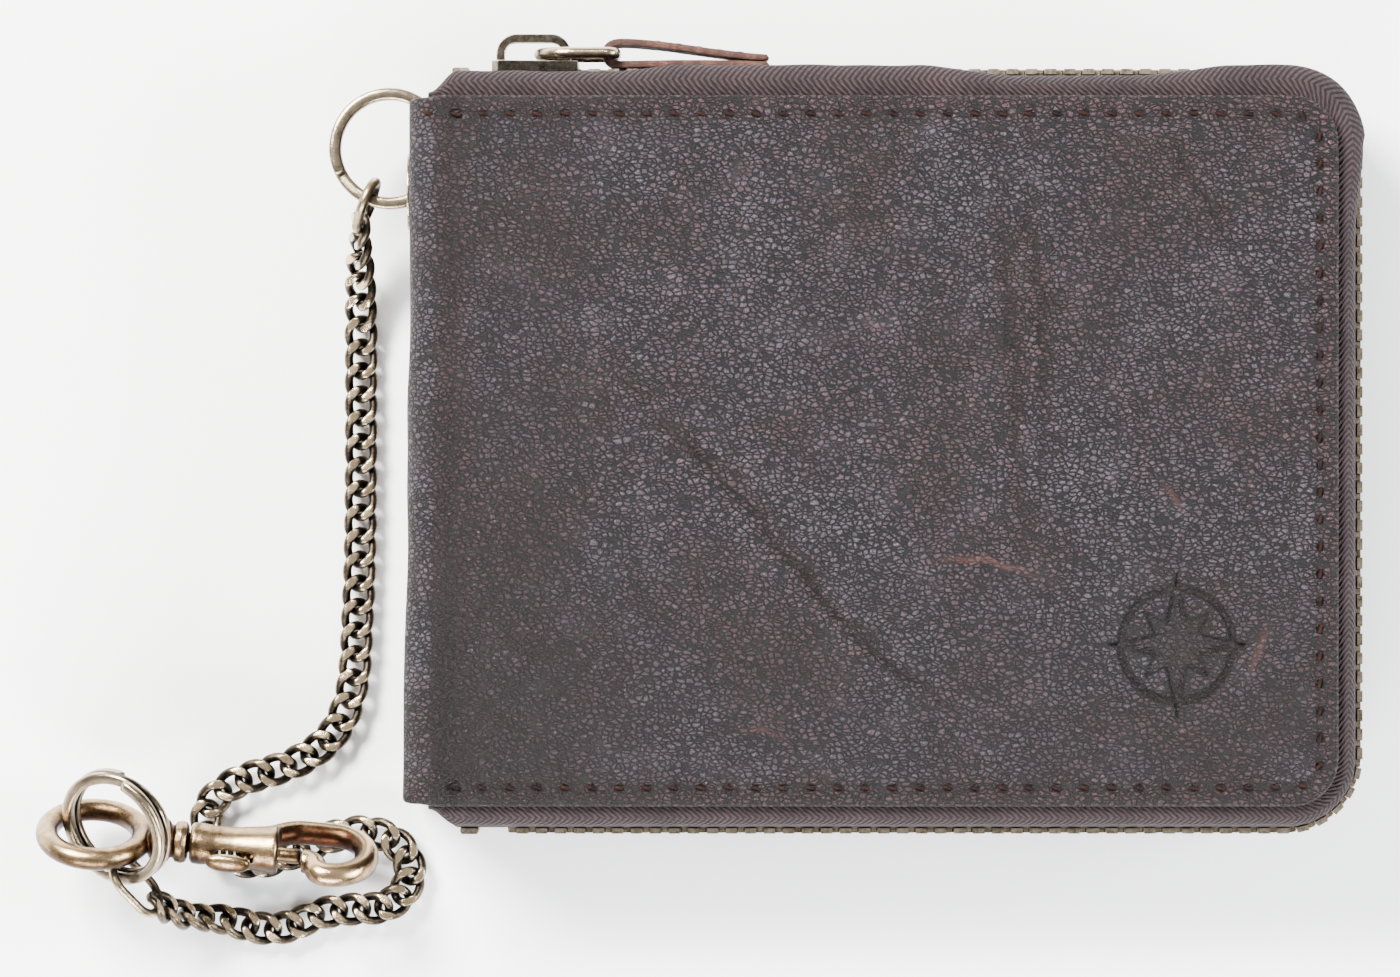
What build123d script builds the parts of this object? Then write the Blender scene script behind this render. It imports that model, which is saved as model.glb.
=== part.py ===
from build123d import *
from math import acos, asin, atan2, cos, degrees, hypot, pi, radians, sin, sqrt, tan
import os

# Zip-around bifold wallet with a chain and a trigger snap.
# Millimetres. Origin: centre of the back cover's outer face. +Z out of the front
# cover, +Y towards the wallet's top edge, +X away from the spine.

# ---- driving dimensions ----
THICK = 26.0            # whole wallet, back face to front face
X_EDGE = 59.0           # free edge of both covers
Y_EDGE = 46.3           # top and bottom edges of both covers
X_SPINE = -62.0         # outer face of the spine
X_JOIN = -58.0          # where the covers meet the spine wrap
R_CORNER = 6.2          # free corners of the covers
T_LEATHER = 1.6
T_LINING = 0.6
R_SPINE = 3.5           # outer rounding of the spine wrap
Z_MID = THICK / 2

TAPE_T = 0.6            # zip tape
TAPE_IN = 2.65          # tape wall, measured outward from the leather edge
TAPE_OUT = TAPE_IN + TAPE_T
TAPE_HEM = -6.0         # how far the tape runs in under the cover
TOOTH_U = 2.95          # middle of the tooth row
TOOTH_PITCH = 2.5
TOOTH_T0, TOOTH_T1 = 1.95, 3.95

RING_C = (-65.0, 39.9, 13.0)     # split ring on the wallet
RING_R, RING_B, RING_H, RING_P = 7.2, 1.6, 1.3, 1.4
EYELET_Y, EYELET_R = 34.2, 3.1

LINK_L, LINK_W, LINK_WIRE, LINK_TILT = 5.5, 4.9, 0.55, 40.0
FLOOR_Z = 1.94          # chain links lying on the surface the wallet lies on

CLASP_C = (-104.1, -50.6, 11.0)  # centre of the swivel eye
CLASP_DIR = -5.0                 # direction of the clasp's axis in plan
CLASP_ROLL = -62.0               # roll of the clasp about its axis
EYE_R, EYE_WIRE = 6.3, 1.5
CRING_C = (-100.9, -49.4, 14.7)  # split ring on the clasp
CRING_N = (-0.5, -0.375, 0.780625)
BOLT_TRAVEL = 3.4

os.makedirs("parts", exist_ok=True)


def save(made, name):
    made.label = name
    export_step(made, "parts/" + name + ".step")


def cover_outline(u):
    """Outline of the covers moved out by u, running past the spine on the left."""
    with BuildSketch(Plane.XY, mode=Mode.PRIVATE) as s:
        with Locations(((X_EDGE + u - 80.0) / 2, 0)):
            Rectangle(X_EDGE + u + 80.0, 2 * (Y_EDGE + u))
        fillet(s.vertices().group_by(Axis.X)[-1], max(0.6, R_CORNER + u))
    return s.sketch


def sheet(x0, x1, y0, y1, z0, z1, r=0.0):
    """A flat panel given by its limits, with its four corners rounded by r."""
    with BuildPart(mode=Mode.PRIVATE) as p:
        with BuildSketch(Plane.XY.offset(z0)) as s:
            with Locations(((x0 + x1) / 2, (y0 + y1) / 2)):
                if r:
                    RectangleRounded(x1 - x0, y1 - y0, r)
                else:
                    Rectangle(x1 - x0, y1 - y0)
        extrude(amount=z1 - z0)
    return p.part


# ---- covers ----
def plate(z0, z1, u, groove_face):
    with BuildPart(mode=Mode.PRIVATE) as p:
        with BuildSketch(Plane.XY.offset(z0)):
            add(cover_outline(u))
            with Locations((-100 + X_JOIN, 0)):
                Rectangle(200, 300, mode=Mode.SUBTRACT)
        extrude(amount=z1 - z0)
        if groove_face is not None:
            # the channel that the border stitches lie in
            with BuildSketch(Plane.XY.offset(groove_face)):
                add(cover_outline(-2.1))
                add(cover_outline(-2.9), mode=Mode.SUBTRACT)
                with Locations((-100 + X_JOIN, 0)):
                    Rectangle(200, 300, mode=Mode.SUBTRACT)
            extrude(amount=-0.3, mode=Mode.SUBTRACT)
    return p.part


with BuildPart() as front_cover:
    add(plate(THICK - T_LEATHER, THICK, 0, THICK))
save(front_cover.part, "front_cover")

with BuildPart() as back_cover:
    add(plate(0, T_LEATHER, 0, None))
save(back_cover.part, "back_cover")


def wrap(t0, t1, y0, y1, scoop):
    """C-shaped wrap round the spine between depths t0 and t1 below its outer face."""
    with BuildPart(mode=Mode.PRIVATE) as p:
        with BuildSketch(Plane.XZ.offset(-y1)):
            with Locations((X_SPINE + 20 + t0, Z_MID)):
                RectangleRounded(40, THICK - 2 * t0, R_SPINE - t0)
            with Locations((X_SPINE + 20 + t1, Z_MID)):
                RectangleRounded(40, THICK - 2 * t1, max(0.3, R_SPINE - t1), mode=Mode.SUBTRACT)
            with Locations((X_JOIN + 50, Z_MID)):
                Rectangle(100, 100, mode=Mode.SUBTRACT)
        extrude(amount=y1 - y0)
        # the scoop at the top end, which the split ring passes over
        with BuildSketch(Plane.YZ.offset(X_SPINE - 5)):
            with Locations((y1, Z_MID)):
                RectangleRounded(2 * scoop, 15.0, min(1.6, scoop * 0.6))
            with Locations((EYELET_Y, Z_MID)):
                Circle(EYELET_R + 0.45)
        extrude(amount=7.5, mode=Mode.SUBTRACT)
    return p.part


with BuildPart() as spine:
    add(wrap(0, T_LEATHER, -46.0, 46.0, 2.7))
save(spine.part, "spine")

with BuildPart() as spine_lining:
    add(wrap(T_LEATHER, T_LEATHER + T_LINING, -44.8, 45.0, 2.4))
save(spine_lining.part, "spine_lining")

# ---- eyelet through the spine ----
with BuildPart() as eyelet:
    with BuildSketch(Plane.XY) as es:
        with BuildLine():
            Polyline((EYELET_R, -0.6), (EYELET_R + 1.9, -0.6), (EYELET_R + 1.9, -0.25), (EYELET_R + 1.5, 0.0),
                     (EYELET_R + 0.4, 0.0), (EYELET_R + 0.4, 2.75), (EYELET_R, 2.75), close=True)
        make_face()
    revolve(axis=Axis.Y, revolution_arc=360)
eyelet_part = eyelet.part.rotate(Axis.Z, -90).moved(Location((X_SPINE, EYELET_Y, Z_MID)))
save(eyelet_part, "eyelet")

with BuildPart() as eyelet_washer:
    with BuildSketch(Plane.YZ.offset(X_SPINE + T_LEATHER + T_LINING)):
        with Locations((EYELET_Y, Z_MID)):
            Circle(EYELET_R + 1.8)
            Circle(EYELET_R + 0.4, mode=Mode.SUBTRACT)
    extrude(amount=0.5)
save(eyelet_washer.part, "eyelet_washer")

# ---- linings ----
def lining(z0, z1):
    with BuildPart(mode=Mode.PRIVATE) as p:
        with BuildSketch(Plane.XY.offset(z0)):
            add(cover_outline(TAPE_HEM - 0.2))
            with Locations((-100 + X_JOIN, 0)):
                Rectangle(200, 300, mode=Mode.SUBTRACT)
        extrude(amount=z1 - z0)
    return p.part


with BuildPart() as front_lining:
    add(lining(THICK - T_LEATHER - T_LINING, THICK - T_LEATHER))
save(front_lining.part, "front_lining")
with BuildPart() as back_lining:
    add(lining(T_LEATHER, T_LEATHER + T_LINING))
save(back_lining.part, "back_lining")


# ---- zip tapes: a hem under the cover and a wall beyond the leather edge ----
def tape(z_hem0, z_hem1, z_wall0, z_wall1):
    with BuildPart(mode=Mode.PRIVATE) as p:
        with BuildSketch(Plane.XY.offset(z_wall0)):
            add(cover_outline(TAPE_OUT))
            add(cover_outline(TAPE_IN), mode=Mode.SUBTRACT)
            with Locations((-156.0, 0)):
                Rectangle(200, 300, mode=Mode.SUBTRACT)
        extrude(amount=z_wall1 - z_wall0)
        with BuildSketch(Plane.XY.offset(z_hem0)):
            add(cover_outline(TAPE_OUT))
            add(cover_outline(TAPE_HEM), mode=Mode.SUBTRACT)
            with Locations((-156.0, 0)):
                Rectangle(200, 300, mode=Mode.SUBTRACT)
        extrude(amount=z_hem1 - z_hem0)
    return p.part


with BuildPart() as tape_front:
    add(tape(THICK - T_LEATHER - T_LINING, THICK - T_LEATHER, Z_MID + 1.5, THICK - T_LEATHER))
save(tape_front.part, "tape_front")
with BuildPart() as tape_back:
    add(tape(T_LEATHER, T_LEATHER + T_LINING, T_LEATHER, Z_MID - 1.5))
save(tape_back.part, "tape_back")

# ---- zip teeth ----
# The row is followed from the top left, round the two free corners, to the bottom left.
X_RUN = X_EDGE + TOOTH_U
Y_RUN = Y_EDGE + TOOTH_U
R_RUN = R_CORNER + TOOTH_U
TOP0 = -50.5
TOP_LEN = X_RUN - R_RUN - TOP0
ARC_LEN = R_RUN * pi / 2
SIDE_LEN = 2 * (Y_RUN - R_RUN)
BOT_LEN = X_RUN - R_RUN + 52.0


def on_row(s):
    """Point and outward direction on the tooth row, s along it."""
    if s < TOP_LEN:
        return TOP0 + s, Y_RUN, 90.0
    s -= TOP_LEN
    if s < ARC_LEN:
        a = pi / 2 - s / R_RUN
        return X_RUN - R_RUN + R_RUN * cos(a), Y_RUN - R_RUN + R_RUN * sin(a), degrees(a)
    s -= ARC_LEN
    if s < SIDE_LEN:
        return X_RUN, Y_RUN - R_RUN - s, 0.0
    s -= SIDE_LEN
    if s < ARC_LEN:
        a = -s / R_RUN
        return X_RUN - R_RUN + R_RUN * cos(a), -Y_RUN + R_RUN + R_RUN * sin(a), degrees(a)
    s -= ARC_LEN
    return X_RUN - R_RUN - s, -Y_RUN, -90.0


ROW_LEN = TOP_LEN + ARC_LEN + SIDE_LEN + ARC_LEN + BOT_LEN
N_TEETH = int(ROW_LEN // TOOTH_PITCH)

# one tooth of the front row, standing on the local X (outward), Y (along the row), Z frame
with BuildPart() as tooth:
    with BuildSketch(Plane.YZ.offset(TOOTH_T0 - TOOTH_U)):
        with BuildLine():
            Polyline((-0.52, -0.65), (-0.32, -0.8), (0.32, -0.8), (0.52, -0.65), (0.52, 0.75), (0.75, 1.2),
                     (0.75, 3.4), (-0.75, 3.4), (-0.75, 1.2), (-0.52, 0.75), close=True)
        make_face()
    extrude(amount=TOOTH_T1 - TOOTH_T0)
    with BuildSketch(Plane.XY.offset(1.5)):
        with Locations((TAPE_IN + TAPE_T / 2 - TOOTH_U, 0)):
            Rectangle(TAPE_T, 3)
    extrude(amount=3, mode=Mode.SUBTRACT)
tooth_up = tooth.part
tooth_down = tooth.part.rotate(Axis.X, 180)


def spread(i):
    """The last teeth stand apart where the slider's post keeps the two rows open."""
    return (1.5, 0.8, 0.0)[min(i, 2)]


def tooth_places(shift, sign):
    out = []
    for i in range(N_TEETH):
        x, y, a = on_row(i * TOOTH_PITCH + shift)
        out.append(Location((x, y, Z_MID + sign * spread(i)), (0, 0, a)))
    return out


with BuildPart() as teeth_front:
    with Locations(*tooth_places(0.0, 1)):
        add(tooth_up)
save(teeth_front.part, "teeth_front")
with BuildPart() as teeth_back:
    with Locations(*tooth_places(TOOTH_PITCH / 2, -1)):
        add(tooth_down)
save(teeth_back.part, "teeth_back")


# end clamps: short and close to the spine, so the front one swings clear of the slider
STOP_X0, STOP_X1 = -56.6, -54.3
STOP_Z0, STOP_Z1 = 3.0, 5.4


def stop(sign):
    """A clamp over the end of one tape, closed at its free end."""
    with BuildPart(mode=Mode.PRIVATE) as p:
        with BuildSketch(Plane.XY.offset(Z_MID + (STOP_Z0 if sign > 0 else -STOP_Z1))):
            with Locations(((STOP_X0 + STOP_X1) / 2, Y_RUN)):
                RectangleRounded(STOP_X1 - STOP_X0, 2.1, 0.35)
            with Locations(((-56.02 + STOP_X1 + 1) / 2, Y_EDGE + TAPE_IN + TAPE_T / 2)):
                Rectangle(STOP_X1 + 1 + 56.02, TAPE_T, mode=Mode.SUBTRACT)
        extrude(amount=STOP_Z1 - STOP_Z0)
    return p.part


with BuildPart() as stop_front:
    add(stop(1))
save(stop_front.part, "stop_front")
with BuildPart() as stop_back:
    add(stop(-1))
save(stop_back.part, "stop_back")

with BuildPart() as end_retainer:
    with BuildSketch(Plane.XY.offset(Z_MID - 3.6)):
        with Locations((-54.4, -Y_RUN)):
            RectangleRounded(2.4, 2.1, 0.4)
    extrude(amount=7.2)
    with BuildSketch(Plane.XY.offset(Z_MID - 4)):
        with Locations((-54.4, -(Y_EDGE + TAPE_IN + TAPE_T / 2))):
            Rectangle(4, TAPE_T)
    extrude(amount=2.5, mode=Mode.SUBTRACT)
    with BuildSketch(Plane.XY.offset(Z_MID + 1.5)):
        with Locations((-54.4, -(Y_EDGE + TAPE_IN + TAPE_T / 2))):
            Rectangle(4, TAPE_T)
    extrude(amount=2.5, mode=Mode.SUBTRACT)
save(end_retainer.part, "end_retainer")

# ---- slider ----
SL0, SL1 = -51.4, -40.1         # mouth end and closed end
W0, W1 = 6.4, 4.4               # half widths there
SL_CUT = 0.8                    # corners cut off the mouth
Y_PI0, Y_PI1 = Y_EDGE + 0.95, Y_EDGE + 1.75     # inner plate
Y_PO0, Y_PO1 = Y_EDGE + 4.15, Y_EDGE + 4.95     # outer plate


def slider_plan(w0, w1, x0=SL0, x1=SL1):
    with BuildSketch(Plane.XY, mode=Mode.PRIVATE) as s:
        with BuildLine():
            wc = w0 - (w0 - w1) * SL_CUT / (x1 - x0)
            Polyline((x0, SL_CUT - w0), (x0 + SL_CUT, -wc), (x1, -w1), (x1, w1), (x0 + SL_CUT, wc), (x0, w0 - SL_CUT), close=True)
        make_face()
    return s.sketch


def slab(y0, y1, sk):
    """A plan drawn in X and Z, pulled from y0 to y1."""
    with BuildPart(mode=Mode.PRIVATE) as p:
        with BuildSketch(Plane(origin=(0, y0, Z_MID), x_dir=(1, 0, 0), z_dir=(0, 1, 0))):
            add(sk)
        extrude(amount=y1 - y0)
    return p.part


with BuildPart() as slider_body:
    add(slab(Y_PI0, Y_PI1, slider_plan(W0, W1)))
    add(slab(Y_PO0, Y_PO1, slider_plan(W0, W1)))
    # flanges, which leave a slot for the tapes
    for y0, y1 in ((Y_PI1, Y_EDGE + 2.5), (Y_EDGE + 3.4, Y_PO0)):
        add(slab(y0, y1, slider_plan(W0, W1) - slider_plan(W0 - 0.7, W1 - 0.7)))
    # post between the two rows at the mouth
    with BuildSketch(Plane(origin=(0, Y_PI1, Z_MID), x_dir=(1, 0, 0), z_dir=(0, 1, 0))):
        with BuildLine():
            Polyline((SL0, -0.65), (SL0 + 0.9, -0.5), (SL0 + 2.4, -0.15), (SL0 + 2.4, 0.15), (SL0 + 0.9, 0.5), (SL0, 0.65), close=True)
        make_face()
    extrude(amount=Y_PO0 - Y_PI1)
    # crown: an arch over the outer plate that holds the pull's link
    with BuildSketch(Plane.XY.offset(Z_MID - 1.5)):
        with BuildLine():
            FilletPolyline((SL0 + 0.5, Y_PO1 - 0.3), (SL0 + 0.5, Y_PO1 + 3.7), (SL1 - 1.0, Y_PO1 + 3.7),
                           (SL1 - 1.0, Y_PO1 - 0.3), radius=2.6)
            Line((SL1 - 1.0, Y_PO1 - 0.3), (SL0 + 0.5, Y_PO1 - 0.3))
        make_face()
        with BuildLine():
            FilletPolyline((SL0 + 1.6, Y_PO1 - 0.1), (SL0 + 1.6, Y_PO1 + 2.6), (SL1 - 2.1, Y_PO1 + 2.6),
                           (SL1 - 2.1, Y_PO1 - 0.1), radius=1.5)
            Line((SL1 - 2.1, Y_PO1 - 0.1), (SL0 + 1.6, Y_PO1 - 0.1))
        make_face(mode=Mode.SUBTRACT)
    extrude(amount=3.0)
save(slider_body.part, "slider_body")

# ---- link and leather tab of the pull ----
PL_X0, PL_X1, PL_Y, PL_W, PL_R = -45.25, -35.25, Y_PO1 + 1.05, 4.6, 0.75
with BuildPart() as pull_link:
    with BuildLine(Plane(origin=(0, PL_Y, Z_MID), x_dir=(1, 0, 0), z_dir=(0, 1, 0))) as pl:
        FilletPolyline((PL_X0 + 5, PL_W), (PL_X1, PL_W), (PL_X1, -PL_W), (PL_X0 + 5, -PL_W), radius=1.2)
        a1 = Line((PL_X0 + 5, PL_W), (PL_X0 + PL_W, PL_W))
        b1 = Line((PL_X0 + 5, -PL_W), (PL_X0 + PL_W, -PL_W))
        ThreePointArc((PL_X0 + PL_W, PL_W), (PL_X0, 0), (PL_X0 + PL_W, -PL_W))
    with BuildSketch(Plane(origin=(PL_X1, PL_Y, Z_MID), x_dir=(1, 0, 0), z_dir=(0, 0, 1))):
        Circle(PL_R)
    sweep(path=pl.line.wires()[0])
save(pull_link.part, "pull_link")

TAB_W, TAB_END, TAB_R = 3.2, -15.0, 1.95
with BuildPart() as pull_tab:
    with BuildSketch(Plane.XY.offset(Z_MID - TAB_W)):
        with BuildLine():
            ThreePointArc((PL_X1, PL_Y - TAB_R), (PL_X1 - TAB_R, PL_Y), (PL_X1, PL_Y + TAB_R))
            Polyline((PL_X1, PL_Y + TAB_R), (-24.0, PL_Y + 0.6), (TAB_END, PL_Y + 0.3), (TAB_END, PL_Y - TAB_R),
                     (PL_X1, PL_Y - TAB_R))
        make_face()
        with BuildLine():
            ThreePointArc((PL_X1, PL_Y - 0.9), (PL_X1 - 0.9, PL_Y), (PL_X1, PL_Y + 0.9))
            Polyline((PL_X1, PL_Y + 0.9), (-27.0, PL_Y - 0.72), (PL_X1, PL_Y - 0.9))
        make_face(mode=Mode.SUBTRACT)
    extrude(amount=2 * TAB_W)
save(pull_tab.part, "pull_tab")

# ---- back half: banknote compartment and card pockets ----
with BuildPart() as note_wall:
    add(sheet(-53.5, 52.5, -44.0, 38.0, 6.6, 7.2, 2.0))
    add(sheet(-53.5, -52.5, -44.0, 38.0, 2.2, 6.8))
    add(sheet(51.5, 52.5, -44.0, 38.0, 2.2, 6.8))
    add(sheet(-53.5, 52.5, -44.0, -43.0, 2.2, 6.8))
save(note_wall.part, "note_wall")
with BuildPart() as card_backing:
    add(sheet(-51.0, 47.0, -43.0, 37.0, 7.2, 7.7, 2.0))
save(card_backing.part, "card_backing")
for i, (top, z0) in enumerate(((30.0, 7.7), (17.0, 8.2), (4.0, 8.7))):
    with BuildPart() as pocket:
        add(sheet(-49.0, 45.0, -42.0, top, z0, z0 + 0.5, 1.5))
    save(pocket.part, ("card_pocket_upper", "card_pocket_middle", "card_pocket_lower")[i])
with BuildPart() as id_film:
    add(sheet(-38.0, 34.0, -40.0, -10.5, 9.2, 9.4, 1.0))
save(id_film.part, "id_film")
with BuildPart() as id_pocket:
    add(sheet(-49.0, 45.0, -42.0, -9.0, 9.2, 9.9, 1.5))
    add(sheet(-38.0, 34.0, -40.0, -10.5, 9.2, 9.4, 1.0), mode=Mode.SUBTRACT)
    add(sheet(-34.0, 30.0, -37.5, -13.0, 9.0, 10.5, 3.0), mode=Mode.SUBTRACT)
save(id_pocket.part, "id_pocket")

# ---- front half: panel and coin pocket ----
with BuildPart() as front_panel:
    add(sheet(-54.0, 52.5, -44.0, 44.0, 23.2, 23.8, 2.0))
save(front_panel.part, "front_panel")
with BuildPart() as coin_gusset:
    add(sheet(-46.0, 46.0, -42.0, -41.0, 18.6, 23.2))
    add(sheet(-46.0, -45.0, -42.0, 12.0, 18.6, 23.2))
    add(sheet(45.0, 46.0, -42.0, 12.0, 18.6, 23.2))
save(coin_gusset.part, "coin_gusset")
with BuildPart() as coin_face:
    add(sheet(-46.0, 46.0, -42.0, 12.0, 18.0, 18.6, 1.5))
save(coin_face.part, "coin_face")
with BuildPart() as coin_binding:
    add(sheet(-46.0, 46.0, 9.0, 12.0, 17.6, 18.0, 0.3))
save(coin_binding.part, "coin_binding")


# ---- split rings: two turns of flat wire ----
def split_ring():
    """Two stacked turns that join through one slanted step, with a notch where each turn ends."""
    with BuildPart(mode=Mode.PRIVATE) as p:
        for k in (-1, 1):
            with BuildSketch(Plane.XY.offset(k * RING_P / 2 - RING_H / 2)):
                Circle(RING_R + RING_B / 2)
                Circle(RING_R - RING_B / 2, mode=Mode.SUBTRACT)
            extrude(amount=RING_H)
        edges = p.edges().filter_by(GeomType.CIRCLE).group_by(Axis.Z)
        chamfer(edges[0] + edges[-1], 0.3)
        with Locations((RING_R, 0, 0)):
            Box(RING_B, 1.6, RING_P - RING_H + 0.2)
    with BuildPart(mode=Mode.PRIVATE) as cut:
        with Locations((RING_R, 1.3, RING_P / 2)):
            Box(RING_B + 1, 0.35, RING_H + 0.05)
        with Locations((RING_R, -1.3, -RING_P / 2)):
            Box(RING_B + 1, 0.35, RING_H + 0.05)
    return p.part - cut.part


with BuildPart() as wallet_ring:
    add(split_ring().rotate(Axis.Z, 215))
save(wallet_ring.part.moved(Location(RING_C)), "wallet_ring")

# ---- chain ----
# Route of the run, then of the heap, as points that a smooth curve passes through.
RUN = [(-68.9, 30.5, 10.4), (-69.2, 26.0, 7.0), (-69.3, 20.5, 3.6), (-69.3, 14.5, FLOOR_Z), (-69.3, 5.0, FLOOR_Z),
       (-69.35, -5.0, FLOOR_Z), (-69.5, -15.0, FLOOR_Z), (-69.9, -24.0, FLOOR_Z), (-70.4, -31.0, FLOOR_Z)]
HEAP = [(-72.6, -37.2, FLOOR_Z), (-77.0, -41.0, FLOOR_Z), (-82.2, -42.9, FLOOR_Z), (-87.2, -44.6, FLOOR_Z),
        (-90.3, -48.6, FLOOR_Z), (-88.6, -53.2, FLOOR_Z), (-83.6, -54.9, FLOOR_Z), (-78.4, -53.6, FLOOR_Z),
        (-73.4, -51.4, FLOOR_Z), (-68.2, -50.6, FLOOR_Z), (-63.9, -52.6, FLOOR_Z), (-62.6, -57.0, FLOOR_Z),
        (-65.4, -60.6, FLOOR_Z), (-70.2, -61.0, FLOOR_Z), (-75.0, -61.6, FLOOR_Z), (-79.6, -63.7, FLOOR_Z),
        (-83.9, -63.4, FLOOR_Z), (-87.6, -62.3, 2.6), (-91.0, -62.0, 4.6), (-94.0, -61.2, 7.0),
        (-96.0, -59.8, 9.6), (-97.0, -58.2, 12.0)]


def smooth(points, n=24):
    """Dense points of a centripetal Catmull-Rom curve through the given ones."""
    p = [tuple(2 * a - b for a, b in zip(points[0], points[1]))] + list(points)
    p.append(tuple(2 * a - b for a, b in zip(points[-1], points[-2])))
    out = []
    for i in range(1, len(p) - 2):
        a, b, c, d = p[i - 1 : i + 3]
        t = [0.0]
        for u, v in ((a, b), (b, c), (c, d)):
            t.append(t[-1] + sqrt(sum((m - k) ** 2 for m, k in zip(u, v))) ** 0.5)

        def mix(u, v, t0, t1, s):
            return tuple((m * (t1 - s) + k * (s - t0)) / (t1 - t0) for m, k in zip(u, v))

        for j in range(n):
            s = t[1] + (t[2] - t[1]) * j / n
            a1, a2, a3 = mix(a, b, t[0], t[1], s), mix(b, c, t[1], t[2], s), mix(c, d, t[2], t[3], s)
            b1, b2 = mix(a1, a2, t[0], t[2], s), mix(a2, a3, t[1], t[3], s)
            out.append(mix(b1, b2, t[1], t[2], s))
    out.append(points[-1])
    return out


def gap(a, b):
    return sqrt(sum((m - k) ** 2 for m, k in zip(a, b)))


def joints_along(curve):
    """The points where one link hands over to the next: equal chords, shorter in tight turns."""
    at = [curve[0]]
    i = 0
    chord = 3.15
    while True:
        j = i
        while j < len(curve) and gap(at[-1], curve[j]) < chord:
            j += 1
        if j >= len(curve):
            return at
        a, b = curve[j - 1], curve[j]
        lo, hi = 0.0, 1.0
        for _ in range(30):
            m = (lo + hi) / 2
            q = tuple(u + (v - u) * m for u, v in zip(a, b))
            lo, hi = (m, hi) if gap(at[-1], q) < chord else (lo, m)
        at.append(q)
        i = j - 1
        if len(at) > 2:
            u = tuple(m - k for m, k in zip(at[-1], at[-2]))
            v = tuple(m - k for m, k in zip(at[-2], at[-3]))
            c = sum(m * k for m, k in zip(u, v)) / (gap(at[-1], at[-2]) * gap(at[-2], at[-3]))
            turn = degrees(acos(max(-1.0, min(1.0, c))))
            chord = 3.15 if turn < 14 else (3.05 if turn < 25 else 2.96)


def link_planes(at):
    """A plane for each link: X along the chain, Z up as far as the run allows."""
    out = []
    for a, b in zip(at, at[1:]):
        x = Vector(*(m - k for m, k in zip(b, a))).normalized()
        z = Vector(0, 0, 1) - x * x.Z
        out.append(Plane(origin=tuple((m + k) / 2 for m, k in zip(a, b)), x_dir=x, z_dir=z.normalized()))
    return out


ALL_JOINTS = joints_along(smooth(RUN + HEAP))
ALL_PLANES = link_planes(ALL_JOINTS)
N_RUN = next(i for i, p in enumerate(ALL_PLANES) if p.origin.Y < -30.5)


def oval_link(length, width, wire):
    r, h = width / 2 - wire, (length - width) / 2
    with BuildPart(mode=Mode.PRIVATE) as p:
        with BuildLine() as path:
            Line((-h, r), (h, r))
            ThreePointArc((h, r), (h + r, 0), (h, -r))
            Line((h, -r), (-h, -r))
            ThreePointArc((-h, -r), (-h - r, 0), (-h, r))
        with BuildSketch(Plane(origin=(0, r, 0), x_dir=(0, 1, 0), z_dir=(1, 0, 0))):
            Circle(wire)
        sweep(path=path.line.wires()[0])
    return p.part


one_link = oval_link(LINK_L, LINK_W, LINK_WIRE)


def link_places(first, last):
    return [ALL_PLANES[i].location * Location((0, 0, 0), (LINK_TILT * (-1 if i % 2 else 1), 0, 0)) for i in range(first, last)]


with BuildPart() as chain_run:
    with Locations(*link_places(0, N_RUN)):
        add(one_link)
save(chain_run.part, "chain_run")
with BuildPart() as chain_heap:
    with Locations(*link_places(N_RUN, len(ALL_PLANES))):
        add(one_link)
save(chain_heap.part, "chain_heap")
print("links", len(ALL_PLANES), "in the run", N_RUN, "length", sum(gap(a, b) for a, b in zip(ALL_JOINTS, ALL_JOINTS[1:])))
print("run ends", ALL_JOINTS[N_RUN], "chain ends", ALL_JOINTS[0], ALL_JOINTS[-1])


# ---- plain oval links that join the chain to the two split rings ----
def placed(made, origin, x_dir, z_dir):
    return made.moved(Plane(origin=origin, x_dir=x_dir, z_dir=z_dir).location)


with BuildPart() as ring_link:
    add(oval_link(8.6, 6.2, 0.65))
save(placed(ring_link.part, (-68.123, 32.479, 12.193), (0.217207, 0.676594, 0.703592), (-0.907291, 0.405819, -0.110155)), "ring_link")

with BuildPart() as clasp_link:
    add(oval_link(10.2, 7.0, 0.6))
save(placed(clasp_link.part, (-98.608, -57.323, 11.382), (-0.6209, 0.6854, 0.3805), (-0.7662, -0.4281, -0.4792)), "clasp_link")

with BuildPart() as clasp_ring:
    add(split_ring().rotate(Axis.Z, 70))
save(placed(clasp_ring.part, CRING_C, (1, 0, CRING_N[0] / -CRING_N[2]), CRING_N), "clasp_ring")

# ---- trigger snap, drawn with X along its axis from the eye's centre, Y in the hook's plane ----
COLLAR0, COLLAR1 = EYE_R + 1.0, 12.45
BARREL0, BARREL1 = 12.7, 24.4
POST_R, HEAD_R = 1.2, 1.8
BORE_Y, BORE_R, ROD_R = -1.1, 1.12, 1.05
BORE0 = 15.0
ROD0, ROD1 = 19.6, 27.4
HOOK_WIRE, HOOK_W, HOOK_END = 1.6, 5.1, 36.05
TIP_Y, TIP_X = -2.1, 27.6

clasp_frame = Plane(origin=CLASP_C, x_dir=(cos(radians(CLASP_DIR)), sin(radians(CLASP_DIR)), 0), z_dir=(0, 0, 1))
clasp_loc = clasp_frame.location * Location((0, 0, 0), (CLASP_ROLL, 0, 0))


def turned(points):
    """A round solid from a closed outline of (x, radius) about the X axis."""
    with BuildPart(mode=Mode.PRIVATE) as p:
        with BuildSketch(Plane.XY):
            with BuildLine():
                Polyline(*points, close=True)
            make_face()
        revolve(axis=Axis.X, revolution_arc=360)
    return p.part


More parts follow.
